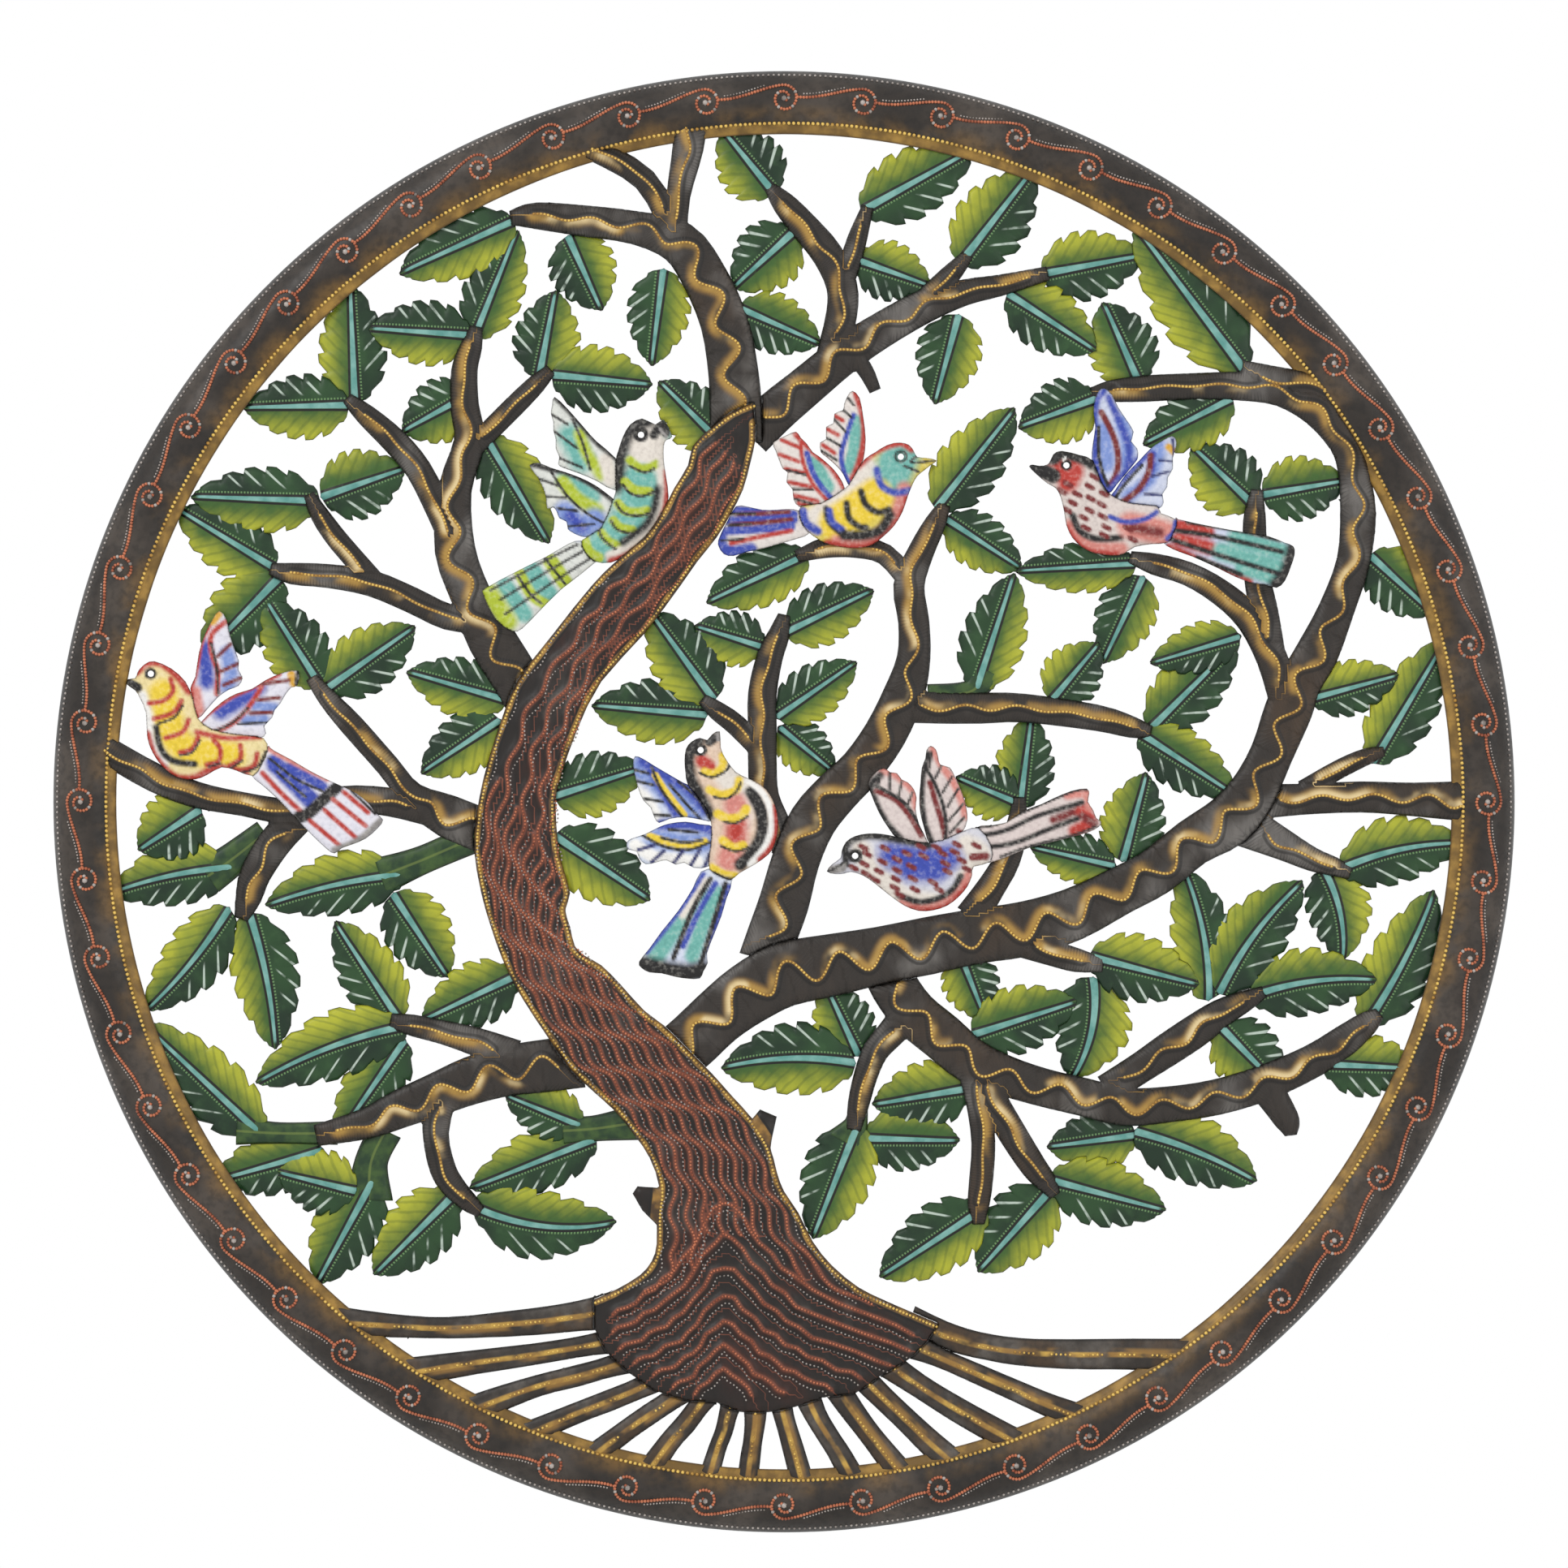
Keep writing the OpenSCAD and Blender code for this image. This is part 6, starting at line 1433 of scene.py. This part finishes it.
for name, (body, wings) in BIRD_GROUND.items():
    on_body, on_wings = BIRD_STROKES[name]
    for part, ground, strokes, height in (
        ("wings", wings, on_wings, wing_height),
        ("body", body, on_body, bird_body_height),
    ):
        node = "bird_%s_%s" % (name, part)
        slot = "bird_%s_paint" % ("wing" if part == "wings" else "body")
        BIRDS.append(Sheet(node, 0.75, chased(strokes), height, "bird", slot, painter(ground, strokes)))

PERCHED = search_tree(np.concatenate([bird.xz for bird in BIRDS]))


def under_bird(xz):
    """How far points are from the nearest bird, in mm; near 0 beneath one."""
    return np.array([PERCHED.find((x, z, 0))[2] for x, z in xz])


# ------------------------------------------------------------------- boughs

gold_dots = Dots("gold_dots", "gold dots", "bough_paint")
copper_dots = Dots("copper_dots", "copper dots", "bark_paint")
grey_dots = Dots("grey_dots", "grey dots", "bark_paint")


def bough_height(xz, edge, line):
    body = dome(edge, 5.5, 2.7)
    ridge = 0.9 * np.exp(-((line / 1.5) ** 2)) - 0.35 * np.exp(-(((line + 1.9) / 0.8) ** 2))
    lean = 0.4 * np.exp(-(((line - 3) / 3) ** 2))
    up = np.maximum(0, body + (ridge + lean + 0.25 * rough(xz, 7)) * np.clip(edge / 2, 0, 1))
    return up * np.clip((under_bird(xz) - 0.8) / 4, 0.18, 1)


BOUGHS = {}
for name in sorted({branch[0] for branch in BRANCHES}):
    node = "twig_centre" if name == "centre" else "bough_" + name
    waves = [wave(branch[1]) for branch in BRANCHES if branch[0] == name]
    waves = [w for w in waves if len(w) > 4]
    sheet = Sheet(node, 1.2, Lines(waves), bough_height, "bough", "bough_paint")
    BOUGHS[name] = sheet
    for line in waves:
        dots_on(sheet, gold_dots, line, 1.5, 0.64, skip=lambda x, z: PERCHED.find((x, z, 0))[2] < 1.4)


def root_height(xz, edge, line):
    body = dome(edge, 3.5, 1.9)
    ridge = 0.5 * np.exp(-((line / 1.4) ** 2))
    return np.maximum(0, body + (ridge + 0.3 * rough(xz, 4)) * np.clip(edge / 2, 0, 1))


for i, root in enumerate(ROOTS):
    line = strand(root)
    sheet = Sheet("root_%02d" % (i + 1), 1.0, Lines([line]), root_height, "root", "bough_paint")
    dots_on(sheet, gold_dots, line, 1.9, 0.6, skip=lambda x, z: math.sin(x * 0.45 + z * 0.3) < -0.35)

# -------------------------------------------------------------------- trunk

# Bark lines side by side on the trunk, the length of a wave and its swing to each side
BARK_ROWS, BARK_L, BARK_A = 8, 20, 1.3


def edge_at(p, t):
    k = t * (len(p) - 1)
    i = min(int(k), len(p) - 2)
    return np.array(p[i], float) * (1 - (k - i)) + np.array(p[i + 1], float) * (k - i)


HEIGHTS = np.linspace(0, 1, 200)
SIDES = [(edge_at(TRUNK_LEFT, t), edge_at(TRUNK_RIGHT, t)) for t in HEIGHTS]
TRUNK_RUN = lengths(np.array([(left + right) / 2 for left, right in SIDES]))
TRUNK_SPAN = np.array([np.linalg.norm(right - left) for left, right in SIDES])


def bark_line(share, start, end):
    """A wavy line up the trunk, in step with its neighbours, with smaller waves where the trunk is slim."""
    at = np.linspace(start, end, 64)
    p = smooth([edge_at(TRUNK_LEFT, t) * (1 - share) + edge_at(TRUNK_RIGHT, t) * share for t in at], 4)
    at = np.linspace(start, end, len(p))
    swing = BARK_A * np.clip(np.interp(at, HEIGHTS, TRUNK_SPAN) / 45, 0.35, 1)
    wave_at = np.sin(2 * math.pi * np.interp(at, HEIGHTS, TRUNK_RUN) / BARK_L + share * 3)
    return p + left_of(headings(p)) * (swing * wave_at)[:, None]


def foot(share):
    """Where a line stops short of the rows that fan out over the foot."""
    return 0.14 if abs(share - 0.5) < 0.2 else 0.09 if abs(share - 0.5) < 0.3 else 0.03


def bark_family(first, ends):
    shares = [(first + k) / (BARK_ROWS + 1) for k in range(BARK_ROWS + (first < 1))]
    return [bark_line(share, foot(share), ends[k % 2]) for k, share in enumerate(shares)]


BARK_LINES = bark_family(1, (0.6, 0.93))
GREY_LINES = bark_family(0.5, (0.74, 0.58))

# The rows that fan out over the foot of the trunk
FOOT_ROWS = [
    [[-71, -213], [-58, -205], [-42, -190], [-25, -166], [-10, -183], [12, -203], [54, -221]],
    [[-71, -220], [-58, -213], [-42, -201], [-25, -180], [-9, -196], [12, -213], [52, -228]],
    [[-68, -227], [-56, -221], [-42, -212], [-25, -193], [-8, -208], [12, -222], [44, -234]],
    [[-62, -233], [-52, -228], [-40, -221], [-25, -205], [-8, -219], [10, -230], [32, -239]],
    [[-54, -238], [-46, -234], [-38, -229], [-25, -216], [-10, -228], [4, -237], [20, -244]],
    [[-46, -243], [-38, -238], [-25, -226], [-12, -237], [0, -245]],
    [[-37, -246], [-25, -236], [-13, -246]],
]


def rippled(row, lift=0.0):
    p = smooth(row, 4)
    return p + left_of(headings(p)) * (0.8 * np.sin(lengths(p) / 1.9) + lift)[:, None]


FOOT_LINES = [rippled(row) for row in FOOT_ROWS]
TRUNK_SIDES = Lines([smooth(TRUNK_LEFT, 3), smooth(TRUNK_RIGHT, 3)])


def trunk_height(xz, edge, line):
    body = dome(edge, 9, 3.0)
    ridge = 1.4 * np.exp(-((line / 1.4) ** 2)) - 0.5 * np.clip(np.abs(line) / 3, 0, 1)
    return np.maximum(0, body + (ridge + 0.3 * rough(xz, 6)) * np.clip((edge - 2) / 2, 0, 1))


def trunk_border(xz, edge):
    return {"border": np.abs(TRUNK_SIDES.measure(xz)[0])}


trunk = Sheet("trunk", 1.2, Lines(BARK_LINES + FOOT_LINES), trunk_height, "bark", "bark_paint", trunk_border)
for line in BARK_LINES + FOOT_LINES:
    dots_on(trunk, copper_dots, line, 1.4, 0.56)
for line in GREY_LINES + [rippled(row, -3.2) for row in FOOT_ROWS]:
    dots_on(trunk, grey_dots, line, 1.7, 0.48)
for side, inwards in ((TRUNK_LEFT, -1), (TRUNK_RIGHT, 1)):
    p = smooth(side, 3)
    dots_on(trunk, gold_dots, p + left_of(headings(p)) * inwards * 1.5, 1.5, 0.68)

# ----------------------------------------------------------------------- rim

rim_co = np.array([v.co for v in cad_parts["rim"].data.vertices]) / MM
INNER_R = float(np.hypot(rim_co[:, 0], rim_co[:, 2]).min())
HALF = (DISC_R - INNER_R) / 2
MID_R = DISC_R - HALF
ARC_R = (RIM_H**2 + HALF**2) / (2 * RIM_H)


def rim_y(r):
    """The rim's front at a radius, in mm."""
    s = min(abs(r - MID_R), HALF)
    depth = RIM_H - ARC_R + math.sqrt(ARC_R**2 - s * s)
    return WALL_Y - max(depth, 0 if r > MID_R else 4 * SHEET)


def add_rim():
    bm = bmesh.new()
    start = bm.verts.new(((DISC_R - 0.1) * MM, WALL_Y * MM, 0))
    # the crown, from the outer edge round to just short of the inner lip
    lip_s = math.sqrt(ARC_R**2 - (ARC_R - RIM_H + 4 * SHEET) ** 2)
    turn = math.asin(HALF / ARC_R) + math.asin(lip_s / ARC_R)
    centre = Vector((MID_R * MM, (WALL_Y - RIM_H + ARC_R) * MM, 0))
    arc = bmesh.ops.spin(bm, geom=[start], cent=centre, axis=(0, 0, 1), angle=-turn, steps=22)
    last = arc["geom_last"][0]
    lip = bmesh.ops.extrude_vert_indiv(bm, verts=[last])["verts"][0]
    lip.co.x = INNER_R * MM
    profile = bm.verts[:] + bm.edges[:]
    bmesh.ops.spin(
        bm, geom=profile, cent=(0, 0, 0), axis=(0, 1, 0), angle=2 * math.pi, steps=300, use_merge=True
    )
    bmesh.ops.remove_doubles(bm, verts=bm.verts, dist=1e-6)
    reach = bm.verts.layers.float.new("reach")
    for v in bm.verts:
        r = math.hypot(v.co.x, v.co.z) / MM
        v[reach] = r - INNER_R
        at = Vector((v.co.x / MM, 0, v.co.z / MM))
        inside = max(0.0, min(1.0, (DISC_R - r) / 4, (r - INNER_R) / 3))
        v.co.y += 0.35 * noise.noise(at / 11) * inside * MM
    bmesh.ops.recalc_face_normals(bm, faces=bm.faces)
    if sum(f.normal.y for f in bm.faces) > 0:
        bmesh.ops.reverse_faces(bm, faces=bm.faces)
    mesh = bpy.data.meshes.new("rim_relief")
    bm.to_mesh(mesh)
    bm.free()
    piece = add_piece("rim_relief", mesh, ("rim", "back"), ("rim",))
    thicken(piece, SHEET)


add_rim()


def on_rim(angle, r):
    return (r * math.sin(angle), rim_y(r), r * math.cos(angle))


rim_gold = Dots("rim_gold_dots", "gold dots", "rim_paint")
rim_grey = Dots("rim_grey_dots", "grey dots", "rim_paint")
rim_copper = Dots("rim_copper_dots", "copper dots", "rim_paint")
TURN = 2 * math.pi
PARTS, PER_PART = 8, 110
for k in range(PARTS):
    part = [TURN * (k + j / PER_PART) / PARTS for j in range(PER_PART)]
    rim_gold.row([on_rim(a, INNER_R + 4.2 + 0.2 * math.sin(a * 9)) for a in part], 0.85)
    rim_grey.row([on_rim(a, DISC_R - 2.6) for a in part], 0.6)

SCROLLS = 56


def scroll_line(k):
    """One running scroll: a link that climbs over the curl and winds in clockwise."""
    middle = TURN * k / SCROLLS
    pitch_mm = TURN * MID_R / SCROLLS
    out = []
    for j in range(60):
        t = j / 59
        if t < 0.42:
            q = t / 0.42
            x = -pitch_mm + 5.6 + (pitch_mm - 5.6) * q
            z = 0.6 + 5.2 * (q * q * (3 - 2 * q)) - 0.8 * math.sin(q * math.pi)
        else:
            q = (t - 0.42) / 0.58
            a = math.pi / 2 - q * math.pi * 2.7
            radius = 5.8 * (1 - q) ** 0.8 + 1.2 * q
            x, z = radius * math.cos(a), radius * math.sin(a)
        out.append((x, z))
    p = spaced(np.array(out), 1.3)
    return [(middle + x / MID_R, MID_R + 0.5 + z) for x, z in p]


for k in range(SCROLLS):
    line = scroll_line(k)
    rim_copper.row([on_rim(a, r) for a, r in line], 0.78)
    rim_grey.row([on_rim(a, r) for a, r in line[26::5]], 0.86)
    rim_grey.row([on_rim(TURN * k / SCROLLS, MID_R + 0.5)], 1.3)
    rim_grey.row([on_rim(a, r + 1.5) for a, r in line[2:16]], 0.45)
for dots in (gold_dots, copper_dots, grey_dots, rim_gold, rim_grey, rim_copper):
    dots.done()

# -------------------------------------------------------------- hanging loops

for slot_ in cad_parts["hanging_loops"].material_slots:
    slot_.material = FINISHES["wire"]

# --------------------------------------------------------------------- stage

scene = bpy.context.scene
scene.view_settings.view_transform = "Standard"
world = scene.world or bpy.data.worlds.new("world")
scene.world = world
world.use_nodes = True
world.node_tree.nodes["Background"].inputs[0].default_value = (1.0, 1.0, 1.0, 1.0)
world.node_tree.nodes["Background"].inputs[1].default_value = 1.0

# The floor is kept small so that it is out of the front view.
floor_mesh = bpy.data.meshes.new("floor")
bm = bmesh.new()
floor_place = Matrix.Translation((0, 0, -0.42)) @ Matrix.Diagonal((1.4, 0.6, 1, 1))
bmesh.ops.create_grid(bm, x_segments=1, y_segments=1, size=0.5, matrix=floor_place)
bm.to_mesh(floor_mesh)
bm.free()
floor = bpy.data.objects.new("floor", floor_mesh)
scene.collection.objects.link(floor)
pale = bpy.data.materials.new("pale_floor")
pale.use_nodes = True
pale.node_tree.nodes["Principled BSDF"].inputs["Base Color"].default_value = (0.85, 0.85, 0.84, 1)
floor_mesh.materials.append(pale)


def softbox(name, at, energy, size):
    light = bpy.data.lights.new(name, "AREA")
    light.energy = energy
    light.size = size
    lamp = bpy.data.objects.new(name, light)
    lamp.location = at
    lamp.rotation_euler = (Vector((0, 0, 0)) - Vector(at)).to_track_quat("-Z", "Y").to_euler()
    scene.collection.objects.link(lamp)


softbox("key", (-1.3, -1.6, 1.5), 14, 0.9)
softbox("fill", (1.6, -1.8, 0.4), 5, 1.2)

# FRAME_W is the width in metres that the view spans at the panel's middle.
LENS, SENSOR, FRAME_W = 100, 36, 0.6525
lens = bpy.data.cameras.new("camera")
lens.lens = LENS
lens.sensor_width = SENSOR
camera = bpy.data.objects.new("camera", lens)
camera.location = (0, -FRAME_W * LENS / SENSOR, 0.0074)
camera.rotation_euler = (math.pi / 2, 0, 0)
scene.collection.objects.link(camera)
scene.camera = camera
